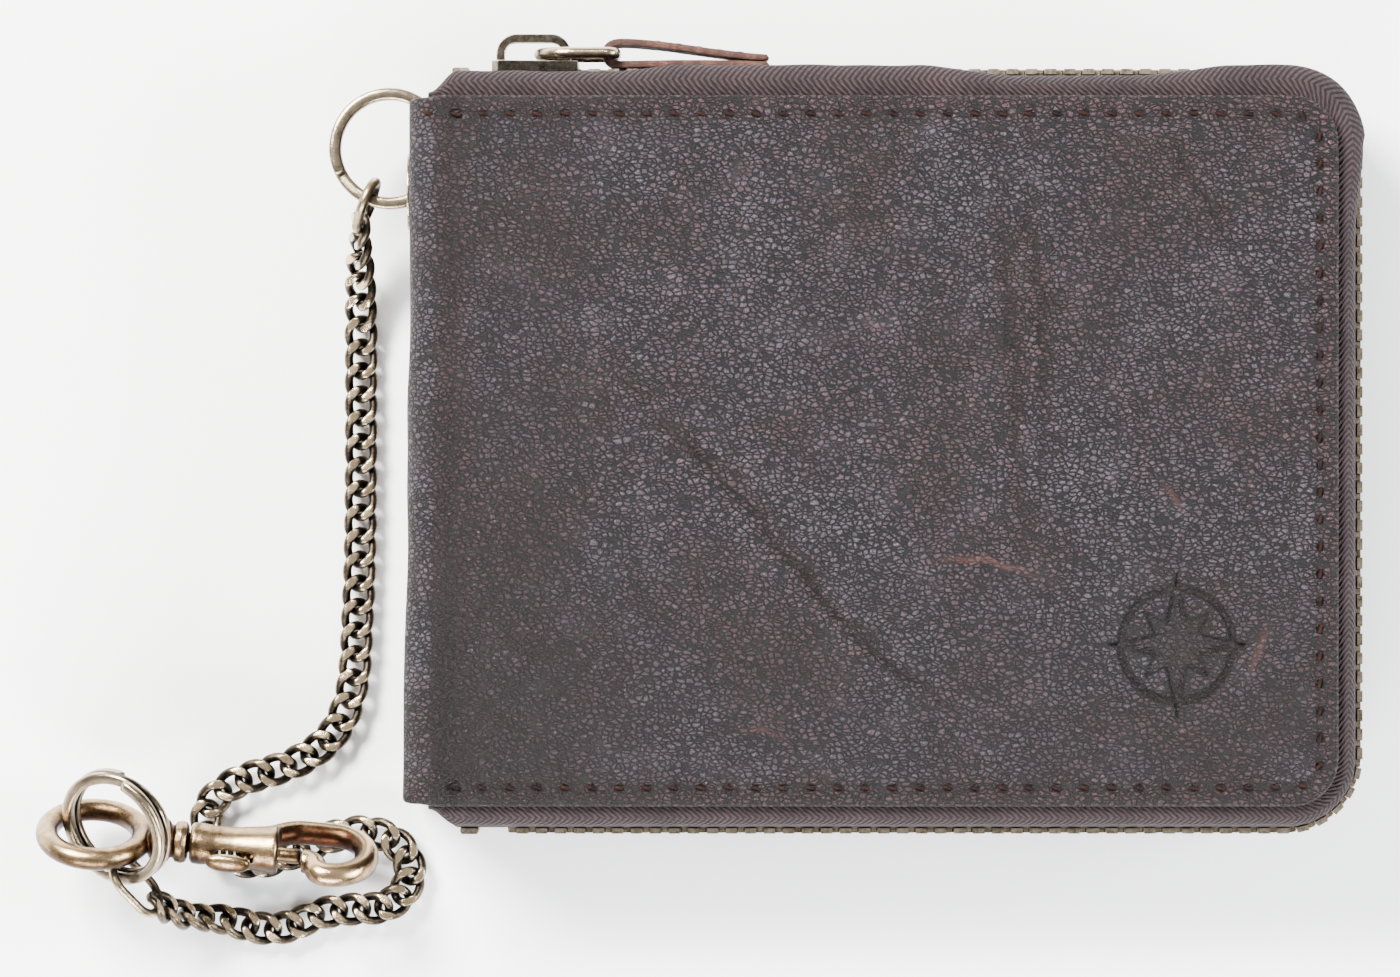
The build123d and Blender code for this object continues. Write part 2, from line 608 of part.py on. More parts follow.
with BuildPart() as swivel_eye:
    with BuildSketch(Plane.XZ):
        with Locations((EYE_R, 0)):
            Circle(EYE_WIRE)
    revolve(axis=Axis.Z, revolution_arc=360)
    # two stepped collars, then the swivel post with its riveted head
    add(turned([(COLLAR0, 0), (COLLAR0, 2.3), (7.9, 2.9), (9.3, 3.05), (9.9, 2.7), (10.1, 2.2), (10.5, 2.2), (10.8, 2.7),
                (11.6, 2.85), (12.2, 2.6), (COLLAR1, 2.0), (COLLAR1, POST_R), (13.75, POST_R), (13.75, HEAD_R),
                (14.4, HEAD_R), (14.4, 0)]))
save(swivel_eye.part.moved(clasp_loc), "swivel_eye")

with BuildPart() as snap_body:
    add(turned([(BARREL0, 0), (BARREL0, 2.35), (13.1, 2.75), (14.2, 2.8), (16.0, 2.55), (18.5, 2.6), (21.5, 2.95),
                (BARREL1 - 0.4, 3.3), (BARREL1, 3.0), (BARREL1, 0)]))
    with BuildLine() as hook_path:
        FilletPolyline((20.5, 1.4), (26.2, HOOK_W), (HOOK_END, HOOK_W), (HOOK_END, -HOOK_W), (30.0, -HOOK_W),
                       (29.2, TIP_Y), (TIP_X, TIP_Y), radius=[4.5, 4.9, 4.6, 1.7, 1.7])
    hook_wire = hook_path.line.wires()[0]
    with BuildSketch(Plane(origin=hook_wire @ 0, z_dir=hook_wire % 0)):
        Circle(HOOK_WIRE)
    sweep(path=hook_wire)
    # cavity for the head of the swivel post, then the bore for the bolt and its spring
    add(turned([(13.6, 0), (13.6, HEAD_R + 0.15), (14.7, HEAD_R + 0.15), (14.7, 0)]), mode=Mode.SUBTRACT)
    add(turned([(BARREL0 - 1, 0), (BARREL0 - 1, POST_R + 0.06), (13.7, POST_R + 0.06), (13.7, 0)]), mode=Mode.SUBTRACT)
    with BuildSketch(Plane.YZ.offset(BORE0)):
        with Locations((BORE_Y, 0)):
            Circle(BORE_R)
    extrude(amount=BARREL1 - BORE0 + 0.5, mode=Mode.SUBTRACT)
    # slot for the stem of the thumb piece
    with BuildSketch(Plane.XY.offset(-0.62)):
        with Locations(((ROD0 + 0.1 - BOLT_TRAVEL - 0.2 + ROD0 + 1.5) / 2, -3.0)):
            Rectangle(BOLT_TRAVEL + 1.8, 3.0)
    extrude(amount=1.24, mode=Mode.SUBTRACT)
save(snap_body.part.moved(clasp_loc), "snap_body")

with BuildPart() as trigger_bolt:
    with BuildSketch(Plane.YZ.offset(ROD0)):
        with Locations((BORE_Y, 0)):
            Circle(ROD_R)
    extrude(amount=ROD1 - ROD0)
    # stem and swept-back thumb piece
    with BuildSketch(Plane.XY.offset(-0.55)):
        with Locations((ROD0 + 0.75, -2.9)):
            Rectangle(1.1, 2.4)
    extrude(amount=1.1)
    with BuildSketch(Plane.XY.offset(-1.3)):
        with BuildLine():
            Polyline((ROD0 - 4.6, -3.9), (ROD0 - 4.2, -4.9), (ROD0 - 2.0, -5.3), (ROD0 + 0.8, -5.0), (ROD0 + 1.5, -4.2),
                     (ROD0 + 1.3, -3.65), (ROD0 - 1.5, -3.6), close=True)
        make_face()
    extrude(amount=2.6)
save(trigger_bolt.part.moved(clasp_loc), "trigger_bolt")

# compression spring behind the bolt, as a stack of separate turns
with BuildPart() as trigger_spring:
    with BuildLine() as coil:
        Helix(pitch=1.0, height=3.9, radius=0.72, center=(BORE0 + 0.25, BORE_Y, 0), direction=(1, 0, 0))
    coil_wire = coil.line.wires()[0]
    with BuildSketch(Plane(origin=coil_wire @ 0, z_dir=coil_wire % 0)):
        Circle(0.17)
    sweep(path=coil_wire, is_frenet=True)
save(trigger_spring.part.moved(clasp_loc), "trigger_spring")
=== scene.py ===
import math
import bpy
import bmesh
import numpy as np
from mathutils import Matrix, Vector


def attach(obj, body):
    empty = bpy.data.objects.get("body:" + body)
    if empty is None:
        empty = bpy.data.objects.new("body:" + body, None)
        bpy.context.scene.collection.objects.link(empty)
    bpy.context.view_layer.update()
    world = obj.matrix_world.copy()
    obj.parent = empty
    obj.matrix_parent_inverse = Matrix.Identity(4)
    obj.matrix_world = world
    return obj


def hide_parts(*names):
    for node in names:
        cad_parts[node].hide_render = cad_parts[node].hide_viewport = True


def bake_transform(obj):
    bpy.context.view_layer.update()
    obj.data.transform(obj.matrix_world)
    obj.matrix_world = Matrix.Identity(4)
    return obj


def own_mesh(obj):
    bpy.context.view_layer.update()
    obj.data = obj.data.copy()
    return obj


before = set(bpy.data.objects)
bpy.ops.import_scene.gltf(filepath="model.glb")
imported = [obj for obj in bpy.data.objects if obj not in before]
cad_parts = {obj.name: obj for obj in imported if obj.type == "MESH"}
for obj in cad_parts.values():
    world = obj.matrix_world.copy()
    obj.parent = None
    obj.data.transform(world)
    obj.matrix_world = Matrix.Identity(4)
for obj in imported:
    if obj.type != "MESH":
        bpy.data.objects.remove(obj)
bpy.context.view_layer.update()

# Zip-around bifold wallet with chain. Numbers below are millimetres unless said otherwise;
# meshes are written in metres.

MM = 0.001
TAU = 2 * math.pi

THICK, X_EDGE, Y_EDGE = 26.0, 59.0, 46.3
X_SPINE, X_JOIN, R_CORNER, R_SPINE = -62.0, -58.0, 6.2, 3.5
Z_MID = THICK / 2
FLOOR_Z = 1.94

# ------------------------------------------------------------------ camera, floor, light
scene = bpy.context.scene
CAM_DIST = 900.0
cam_data = bpy.data.cameras.new("camera")
cam_data.sensor_width = 36.0
cam_data.lens = 36.0 * CAM_DIST / 182.0
cam_data.clip_start = 0.05
cam_data.clip_end = 10.0
cam = bpy.data.objects.new("camera", cam_data)
cam.location = (-24.1 * MM, -4.9 * MM, (26.0 + CAM_DIST) * MM)
cam.rotation_euler = (0, 0, 0)
scene.collection.objects.link(cam)
scene.camera = cam


def area(name, loc, target, size, energy, color=(1, 1, 1), size_y=None):
    d = bpy.data.lights.new(name, "AREA")
    d.energy = energy
    d.color = color
    d.shape = "RECTANGLE"
    d.size = size
    d.size_y = size_y or size
    o = bpy.data.objects.new(name, d)
    o.location = loc
    o.rotation_euler = (Vector(target) - Vector(loc)).to_track_quat("-Z", "Y").to_euler()
    scene.collection.objects.link(o)


area("key", (-0.50, 0.52, 0.72), (-0.02, 0, 0), 0.42, 62.0, (1.0, 0.985, 0.955), 0.24)
area("fill", (0.78, -0.05, 0.50), (0, 0, 0), 0.50, 24.0, (0.93, 0.965, 1.0), 0.30)
area("front", (-0.20, -0.80, 0.46), (-0.03, -0.02, 0), 0.75, 26.0, (1.0, 1.0, 1.0), 0.20)

world = bpy.data.worlds.new("studio")
scene.world = world
world.use_nodes = True
wn = world.node_tree
bg = wn.nodes["Background"]
wtc = wn.nodes.new("ShaderNodeTexCoord")
wsep = wn.nodes.new("ShaderNodeSeparateXYZ")
wramp = wn.nodes.new("ShaderNodeValToRGB")
wn.links.new(wtc.outputs["Generated"], wsep.inputs[0])
wn.links.new(wsep.outputs["Z"], wramp.inputs[0])
wn.links.new(wramp.outputs[0], bg.inputs["Color"])
els = wramp.color_ramp.elements
els[0].position, els[0].color = 0.0, (0.34, 0.34, 0.35, 1)
els[1].position, els[1].color = 1.0, (0.62, 0.62, 0.64, 1)
e = els.new(0.35); e.color = (0.40, 0.40, 0.41, 1)
e = els.new(0.62); e.color = (0.95, 0.95, 0.96, 1)
e = els.new(0.86); e.color = (1.0, 1.0, 1.0, 1)
e = els.new(0.95); e.color = (0.70, 0.70, 0.72, 1)
bg.inputs["Strength"].default_value = 0.78


# ------------------------------------------------------------------ node helpers
class Mat:
    """A small wrapper for building a procedural material."""

    def __init__(self, name):
        self.m = bpy.data.materials.new(name)
        self.m.use_nodes = True
        self.t = self.m.node_tree
        self.p = self.t.nodes["Principled BSDF"]

    def n(self, kind, **kw):
        node = self.t.nodes.new("ShaderNode" + kind)
        for k, v in kw.items():
            if k in node.inputs:
                self.put(node.inputs[k], v)
            else:
                setattr(node, k, v)
        return node

    def put(self, socket, v):
        if isinstance(v, bpy.types.NodeSocket):
            self.t.links.new(v, socket)
        else:
            socket.default_value = v

    def math(self, op, a, b=None, c=None, clamp=False):
        node = self.t.nodes.new("ShaderNodeMath")
        node.operation = op
        node.use_clamp = clamp
        for i, v in enumerate((a, b, c)):
            if v is not None:
                self.put(node.inputs[i], v)
        return node.outputs[0]

    def attr(self, name, out="Fac"):
        node = self.t.nodes.new("ShaderNodeAttribute")
        node.attribute_name = name
        return node.outputs[out]

    def coords(self, name=None, scale=(1, 1, 1), rot=(0, 0, 0)):
        if name:
            src = self.attr(name, "Vector")
        else:
            src = self.t.nodes.new("ShaderNodeTexCoord").outputs["Object"]
        mp = self.t.nodes.new("ShaderNodeMapping")
        mp.inputs["Scale"].default_value = scale
        mp.inputs["Rotation"].default_value = rot
        self.t.links.new(src, mp.inputs["Vector"])
        return mp.outputs[0]

    def noise(self, vec, scale, detail=3.0, rough=0.55, dist=0.0):
        node = self.t.nodes.new("ShaderNodeTexNoise")
        self.put(node.inputs["Vector"], vec)
        node.inputs["Scale"].default_value = scale
        node.inputs["Detail"].default_value = detail
        node.inputs["Roughness"].default_value = rough
        node.inputs["Distortion"].default_value = dist
        return node

    def ramp(self, fac, stops, interp="LINEAR"):
        node = self.t.nodes.new("ShaderNodeValToRGB")
        node.color_ramp.interpolation = interp
        e = node.color_ramp.elements
        while len(e) > 1:
            e.remove(e[-1])
        for i, (pos, col) in enumerate(stops):
            if not hasattr(col, "__len__"):
                col = (col, col, col)
            el = e[0] if i == 0 else e.new(pos)
            el.position = pos
            el.color = tuple(col) + (1.0,)
        self.put(node.inputs[0], fac)
        return node.outputs[0]

    def mix(self, fac, a, b, blend="MIX"):
        node = self.t.nodes.new("ShaderNodeMix")
        node.data_type = "RGBA"
        node.blend_type = blend
        self.put(node.inputs[0], fac)
        for sock, v in ((node.inputs[6], a), (node.inputs[7], b)):
            if not isinstance(v, bpy.types.NodeSocket) and len(v) == 3:
                v = tuple(v) + (1.0,)
            self.put(sock, v)
        return node.outputs[2]

    def bump(self, height, dist, strength=1.0, normal=None):
        node = self.t.nodes.new("ShaderNodeBump")
        node.inputs["Strength"].default_value = strength
        node.inputs["Distance"].default_value = dist
        self.put(node.inputs["Height"], height)
        if normal is not None:
            self.put(node.inputs["Normal"], normal)
        return node.outputs[0]

    def set(self, **kw):
        for k, v in kw.items():
            k = k.replace("_", " ")
            if not isinstance(v, bpy.types.NodeSocket) and hasattr(v, "__len__") and len(v) == 3 and k.endswith("Color"):
                v = tuple(v) + (1.0,)
            self.put(self.p.inputs[k], v)
        return self.m


# ------------------------------------------------------------------ mesh helpers
def rng(seed):
    return np.random.default_rng(seed)


def add_mesh(name, verts, faces, mat, body=None, stands_for=(), slot=None, smooth=True, attrs=None, flat_angle=None):
    """verts in millimetres; faces as index lists."""
    me = bpy.data.meshes.new(name)
    v = (np.asarray(verts, float) * MM).tolist()
    me.from_pydata(v, [], [list(map(int, f)) for f in faces])
    me.validate()
    me.update()
    for key, val in (attrs or {}).items():
        val = np.asarray(val, np.float32)
        if val.ndim == 2:
            a = me.attributes.new(key, "FLOAT_VECTOR", "POINT")
            a.data.foreach_set("vector", val.reshape(-1))
        else:
            a = me.attributes.new(key, "FLOAT", "POINT")
            a.data.foreach_set("value", val)
    if smooth:
        me.polygons.foreach_set("use_smooth", [True] * len(me.polygons))
    if flat_angle:
        me.set_sharp_from_angle(angle=math.radians(flat_angle))
    o = bpy.data.objects.new(name, me)
    scene.collection.objects.link(o)
    me.materials.append(mat)
    if body:
        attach(o, body)
    if stands_for:
        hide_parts(*stands_for)
    return o


def smoothstep(a, b, x):
    t = np.clip((x - a) / (b - a), 0, 1)
    return t * t * (3 - 2 * t)


def poly_dist(x, y, pts):
    """Distance from each point to a polyline, and how far along it in 0..1."""
    best = np.full(x.shape, 1e9)
    along = np.zeros(x.shape)
    pts = np.asarray(pts, float)
    lens = np.hypot(*(pts[1:] - pts[:-1]).T)
    total, done = lens.sum(), 0.0
    for a, b, ln in zip(pts, pts[1:], lens):
        d = b - a
        t = np.clip(((x - a[0]) * d[0] + (y - a[1]) * d[1]) / (ln * ln), 0, 1)
        dist = np.hypot(x - a[0] - t * d[0], y - a[1] - t * d[1])
        near = dist < best
        best = np.where(near, dist, best)
        along = np.where(near, (done + t * ln) / total, along)
        done += ln
    return best, along


def lines(lo, hi, step, r=0.8, extra=(), fine=(), fine_step=0.22, border=0.0, border_step=0.28):
    """Grid line positions from lo to hi: close together at the two rounded edges and in the fine ranges."""
    out = set()
    for k in range(6):
        q = r * (1 - math.cos(k * math.pi / 10))
        out.add(round(lo + q, 4))
        out.add(round(hi - q, 4))
    p = lo + r
    while p < hi - r - 1e-6:
        out.add(round(p, 4))
        st = step
        if border and (p - lo < border or hi - p < border):
            st = border_step
        for a, b in fine:
            if a <= p <= b:
                st = min(st, fine_step)
        p += st
    for q in extra:
        out.add(round(q, 4))
    out = sorted(out)
    keep = [out[0]]
    for q in out[1:]:
        if q - keep[-1] > 0.045 or q == out[-1]:
            keep.append(q)
    return np.array(keep)


def grid_sheet(name, S, Y, top, bottom, place, mat, hole=None, attrs=None, **kw):
    """A closed sheet from two grids that share their border. top and bottom are the third coordinate."""
    n, m = S.shape
    idx = np.arange(n * m).reshape(n, m)
    border = np.zeros((n, m), bool)
    border[0, :] = border[-1, :] = border[:, 0] = border[:, -1] = True
    low = np.full((n, m), -1)
    inner = ~border
    low[inner] = n * m + np.arange(inner.sum())
    low[border] = idx[border]
    vt = place(S, Y, np.where(border, (top + bottom) / 2, top))
    vb = place(S, Y, bottom)
    verts = np.vstack([vt.reshape(-1, 3), vb[inner]])
    q = np.stack([idx[:-1, :-1], idx[1:, :-1], idx[1:, 1:], idx[:-1, 1:]], -1)
    ql = np.stack([low[:-1, :-1], low[:-1, 1:], low[1:, 1:], low[1:, :-1]], -1)
    keep = np.ones(q.shape[:2], bool)
    if hole is not None:
        sc = (S[:-1, :-1] + S[1:, 1:]) / 2
        yc = (Y[:-1, :-1] + Y[1:, 1:]) / 2
        keep = ~hole(sc, yc)
    faces = q[keep].tolist() + ql[keep].tolist()
    if hole is not None:
        kp = np.pad(keep, 1, constant_values=True)
        for i, j in zip(*np.where(~keep)):
            for di, dj, a, b in ((-1, 0, (i, j), (i, j + 1)), (1, 0, (i + 1, j + 1), (i + 1, j)),
                                 (0, -1, (i + 1, j), (i, j)), (0, 1, (i, j + 1), (i + 1, j + 1))):
                if kp[i + 1 + di, j + 1 + dj]:
                    faces.append([idx[a], idx[b], low[b], low[a]])
    at = {}
    for k, v in (attrs or {}).items():
        flat = v.reshape(n * m, -1)
        both = np.vstack([flat, v[inner].reshape(inner.sum(), -1)])
        at[k] = both if both.shape[1] == 3 else both[:, 0]
    # left-handed placements turn the faces inside out, so their winding is checked once
    o = add_mesh(name, verts, faces, mat, attrs=at, **kw)
    bm = bmesh.new()
    bm.from_mesh(o.data)
    loose = [v for v in bm.verts if not v.link_faces]
    bmesh.ops.delete(bm, geom=loose, context="VERTS")
    bmesh.ops.recalc_face_normals(bm, faces=bm.faces)
    bm.to_mesh(o.data)
    bm.free()
    return o


def tube(path, radius, sides=10, closed=False, squash=None, cap=True):
    """Vertices and faces of a round tube along the points. radius may be a list."""
    P = np.asarray(path, float)
    n = len(P)
    rad = np.full(n, radius) if np.isscalar(radius) else np.asarray(radius, float)
    if closed:
        T = np.roll(P, -1, 0) - np.roll(P, 1, 0)
    else:
        T = np.gradient(P, axis=0)
    T /= np.linalg.norm(T, axis=1)[:, None]
    up = np.array([0, 0, 1.0]) if abs(T[0, 2]) < 0.9 else np.array([1.0, 0, 0])
    u = np.cross(T[0], up)
    u /= np.linalg.norm(u)
    verts = []
    frames = []
    for i in range(n):
        u = u - T[i] * (u @ T[i])
        u /= np.linalg.norm(u)
        frames.append((u.copy(), np.cross(T[i], u)))
    for i in range(n):
        a, b = frames[i]
        for k in range(sides):
            w = TAU * k / sides
            verts.append(P[i] + rad[i] * (math.cos(w) * a + math.sin(w) * b))
    faces = []
    for i in range(n if closed else n - 1):
        j = (i + 1) % n
        for k in range(sides):
            l = (k + 1) % sides
            faces.append([i * sides + k, i * sides + l, j * sides + l, j * sides + k])
    if cap and not closed:
        faces.append([k for k in range(sides)][::-1])
        faces.append([(n - 1) * sides + k for k in range(sides)])
    return np.array(verts), faces


class Soup:
    """Collects several small meshes into one."""

    def __init__(self):
        self.v, self.f, self.a, self.n = [], [], {}, 0

    def add(self, v, f, **attrs):
        self.v.append(np.asarray(v, float))
        self.f += [[i + self.n for i in q] for q in f]
        for k, x in attrs.items():
            x = np.broadcast_to(np.asarray(x, float), (len(v),)) if np.ndim(x) < 2 else np.asarray(x, float)
            self.a.setdefault(k, []).append(x)
        self.n += len(v)

    def make(self, name, mat, **kw):
        return add_mesh(name, np.vstack(self.v), self.f, mat, attrs={k: np.concatenate(x) for k, x in self.a.items()}, **kw)


def rounded_limits(xs, x0, x1, y0, y1, r):
    """Lower and upper limit in Y at each x of a rounded rectangle."""
    r = max(r, 1e-3)
    over = np.maximum(np.maximum(xs - (x1 - r), (x0 + r) - xs), 0)
    cut = r - np.sqrt(np.maximum(r * r - np.minimum(over, r) ** 2, 0))
    return y0 + cut, y1 - cut


def inside(x, y, x0, x1, y0, y1, r):
    """Distance in from the outline of a rounded rectangle."""
    qx = np.abs(x - (x0 + x1) / 2) - ((x1 - x0) / 2 - r)
    qy = np.abs(y - (y0 + y1) / 2) - ((y1 - y0) / 2 - r)
    return -(np.hypot(np.maximum(qx, 0), np.maximum(qy, 0)) + np.minimum(np.maximum(qx, qy), 0) - r)


def edge_half(d, h, r):
    """Half thickness h, rounded off over r at the edge."""
    t = np.clip(1 - d / r, 0, 1)
    return h * np.sqrt(np.maximum(1 - t * t, 0))


def flat_place(S, Y, Z):
    return np.stack([S, Y, Z], -1)

# ------------------------------------------------------------------ materials
def leather_material(name, brown, grey, crack, grain=1.05, depth=0.00016, rough=(0.36, 0.56), vec="rest", colour_attrs=True, spec=0.20):
    m = Mat(name)
    v = m.coords(vec)
    warp = m.noise(v, 0.35, 2, 0.5)
    big = m.noise(v, 0.045, 4, 0.6)
    big2 = m.noise(v, 0.16, 3, 0.55)
    # coordinates pushed about a little, so the cells lie in streams
    off = m.n("VectorMath", operation="SCALE")
    sub = m.n("VectorMath", operation="SUBTRACT")
    m.put(sub.inputs[0], warp.outputs["Color"])
    sub.inputs[1].default_value = (0.5, 0.5, 0.5)
    m.put(off.inputs[0], sub.outputs[0])
    off.inputs["Scale"].default_value = 0.8
    add = m.n("VectorMath", operation="ADD")
    m.put(add.inputs[0], v)
    m.put(add.inputs[1], off.outputs[0])
    mp = m.n("Mapping")
    mp.inputs["Scale"].default_value = (0.76, 1.18, 1.0)
    mp.inputs["Rotation"].default_value = (0, 0, 0.22)
    m.put(mp.inputs["Vector"], add.outputs[0])
    cells = m.n("TexVoronoi", feature="DISTANCE_TO_EDGE")
    m.put(cells.inputs["Vector"], mp.outputs[0])
    cells.inputs["Scale"].default_value = grain
    cells.inputs["Randomness"].default_value = 0.86
    tint = m.n("TexVoronoi", feature="F1")
    m.put(tint.inputs["Vector"], mp.outputs[0])
    tint.inputs["Scale"].default_value = grain
    tint.inputs["Randomness"].default_value = 0.86
    tiny = m.n("TexVoronoi", feature="DISTANCE_TO_EDGE")
    m.put(tiny.inputs["Vector"], add.outputs[0])
    tiny.inputs["Scale"].default_value = grain * 2.3
    # cracks fade in some places, as on buffed leather
    fade = m.ramp(big2.outputs["Fac"], [(0.30, 0.72), (0.52, 1.0)])
    line = m.ramp(cells.outputs["Distance"], [(0.0, 0.0), (0.05, 0.08), (0.15, 0.70), (0.34, 1.0)])
    line2 = m.ramp(tiny.outputs["Distance"], [(0.0, 0.35), (0.10, 0.92), (0.3, 1.0)])
    both = m.math("MULTIPLY", line, line2)
    sep = m.n("SeparateColor")
    m.put(sep.inputs[0], tint.outputs["Color"])
    per_cell = m.math("MULTIPLY", m.math("MULTIPLY_ADD", sep.outputs[0], 0.42, 0.80), m.ramp(big.outputs["Fac"], [(0.34, 0.80), (0.66, 1.22)]))
    tone = m.ramp(big.outputs["Fac"], [(0.36, 0.22), (0.62, 0.95)])
    cell_grey = m.math("MULTIPLY_ADD", sep.outputs[1], 0.45, -0.2)
    toneb = m.math("ADD", tone, cell_grey, clamp=True)
    if colour_attrs:
        warm = m.attr("warm")
        toneb = m.math("SUBTRACT", toneb, warm, clamp=True)
    base = m.mix(toneb, brown, grey)
    grey_cell = m.n("CombineColor")
    for i in range(3):
        m.put(grey_cell.inputs[i], per_cell)
    base = m.mix(1.0, base, grey_cell.outputs[0], "MULTIPLY")
    # the lines between cells take the crack colour: the crackle's own dark lines, deepened as painted shade in the
    # cracks
    crackf = m.math("SUBTRACT", 1.0, both, clamp=True)
    crackf = m.math("MULTIPLY", crackf, fade)
    col = m.mix(m.math("MULTIPLY", crackf, 1.34, clamp=True), base, crack)
    h = m.math("MULTIPLY_ADD", both, 0.85, m.math("MULTIPLY", big2.outputs["Fac"], 0.5))
    if colour_attrs:
        # the dark mask is mostly painted shade (creases, stitch holes, the seam channel, pressed lines, the star, the
        # spine roll, and darker towards the left and bottom), with a little real tone
        dark = m.attr("dark")
        col = m.mix(m.math("MULTIPLY", dark, 0.95, clamp=True), col, (0.0045, 0.0028, 0.0030))
        red = m.attr("red")
        col = m.mix(m.math("MULTIPLY", red, 0.7, clamp=True), col, (0.075, 0.028, 0.020))
        rub_gloss_and_painted_glint = m.attr("rub_gloss_and_painted_glint")
        # painted glints: some cells are painted pale where this mask is set, and the same mask lowers the roughness, as
        # on a rubbed finish
        painted_glint = m.ramp(m.math("MULTIPLY", sep.outputs[2], both), [(0.60, 0.0), (0.80, 1.0)])
        col = m.mix(m.math("MULTIPLY", m.math("MULTIPLY", rub_gloss_and_painted_glint, painted_glint), 2.2, clamp=True), col, (0.22, 0.22, 0.255))
    r = m.math("MULTIPLY_ADD", big.outputs["Fac"], rough[1] - rough[0], rough[0])
    if colour_attrs:
        r = m.math("SUBTRACT", r, m.math("MULTIPLY", rub_gloss_and_painted_glint, 0.25), clamp=True)
    r = m.math("MULTIPLY_ADD", crackf, 0.25, r)
    return m.set(Base_Color=col, Roughness=r, Normal=m.bump(h, depth, 1.0), Specular_IOR_Level=spec)


LEATHER = leather_material("leather_crackle", (0.0625, 0.0315, 0.0350), (0.0580, 0.0520, 0.0655), (0.0014, 0.0009, 0.0013), grain=1.50, depth=0.00048)
POCKET = leather_material("leather_pocket", (0.0270, 0.0120, 0.0088), (0.0300, 0.0165, 0.0130), (0.0030, 0.0014, 0.0011), grain=1.9,
                          depth=0.00022, rough=(0.5, 0.65), vec="rest", colour_attrs=False, spec=0.07)


def raw_leather():
    m = Mat("leather_raw_edge")
    v = m.coords("rest")
    mp = m.n("Mapping")
    mp.inputs["Scale"].default_value = (0.55, 2.6, 1.6)
    m.put(mp.inputs["Vector"], v)
    fib = m.noise(mp.outputs[0], 2.2, 6, 0.7, 0.6)
    blot = m.noise(v, 0.5, 3)
    col = m.ramp(fib.outputs["Fac"], [(0.28, (0.016, 0.006, 0.0045)), (0.48, (0.062, 0.026, 0.018)), (0.62, (0.11, 0.052, 0.037)),
                                      (0.8, (0.21, 0.125, 0.095))])
    col = m.mix(m.ramp(blot.outputs["Fac"], [(0.4, 0.0), (0.65, 0.7)]), col, (0.024, 0.011, 0.010))
    # the finished faces of the strip are smooth, its cut edges are not
    face = m.attr("face")
    col = m.mix(face, col, (0.026, 0.017, 0.017))
    return m.set(Base_Color=col, Roughness=0.78, Normal=m.bump(fib.outputs["Fac"], 0.00022, 0.8), Specular_IOR_Level=0.25)


RAW = raw_leather()


def woven(name, dark, light, pitch, depth, bands=1.6, slope=0.55):
    """Herringbone tape: ribs that slant one way and then the other across the width."""
    m = Mat(name)
    v = m.coords("rest")
    sep = m.n("SeparateXYZ")
    m.put(sep.inputs[0], v)
    x, w = sep.outputs[0], sep.outputs[1]
    zig = m.math("PINGPONG", w, bands)
    ph = m.math("MULTIPLY_ADD", zig, slope, x)
    jit = m.noise(v, 1.6, 2)
    ph = m.math("MULTIPLY_ADD", jit.outputs["Fac"], 0.22, ph)
    rib = m.math("SINE", m.math("MULTIPLY", ph, TAU / pitch))
    rib = m.math("MULTIPLY_ADD", rib, 0.5, 0.5)
    cross = m.math("SINE", m.math("MULTIPLY_ADD", w, TAU / (pitch * 0.8), m.math("MULTIPLY", x, TAU / (pitch * 2.1))))
    cross = m.math("MULTIPLY_ADD", cross, 0.5, 0.5)
    h = m.math("MULTIPLY", m.math("POWER", rib, 0.6), m.math("MULTIPLY_ADD", cross, 0.4, 0.6))
    fuzz = m.noise(v, 9.0, 3, 0.7)
    # colour follows the rib height: crests lighter and grooves darker as painted shade in the weave, with fuzz varying
    # the tone
    col = m.ramp(m.math("MULTIPLY_ADD", fuzz.outputs["Fac"], 0.35, m.math("MULTIPLY", h, 0.8)), [(0.1, dark), (0.85, light)])
    blot = m.noise(v, 0.12, 3)
    col = m.mix(m.ramp(blot.outputs["Fac"], [(0.35, 0.0), (0.7, 0.45)]), col, tuple(0.55 * c for c in dark))
    return m.set(Base_Color=col, Roughness=0.82, Normal=m.bump(h, depth, 1.0), Specular_IOR_Level=0.2)


TAPE = woven("zip_tape_weave", (0.0022, 0.0012, 0.0014), (0.0400, 0.0245, 0.0270), 0.82, 0.00036, 2.6, 0.95)
LINING = woven("lining_twill", (0.0040, 0.0025, 0.0023), (0.0200, 0.0135, 0.0120), 0.50, 0.00014, 500.0, 0.9)


def thread_material():
    m = Mat("stitch_thread")
    v = m.coords("rest")
    sep = m.n("SeparateXYZ")
    m.put(sep.inputs[0], v)
    ply = m.math("SINE", m.math("MULTIPLY_ADD", sep.outputs[0], 14.0, m.math("MULTIPLY", sep.outputs[1], 1.0)))
    var = m.noise(m.coords(), 900.0, 3)
    col = m.mix(m.ramp(var.outputs["Fac"], [(0.35, 0.0), (0.7, 1.0)]), (0.0036, 0.0011, 0.0009), (0.0190, 0.0062, 0.0042))
    return m.set(Base_Color=col, Roughness=0.8, Normal=m.bump(ply, 0.00006, 0.7), Specular_IOR_Level=0.12)


THREAD = thread_material()


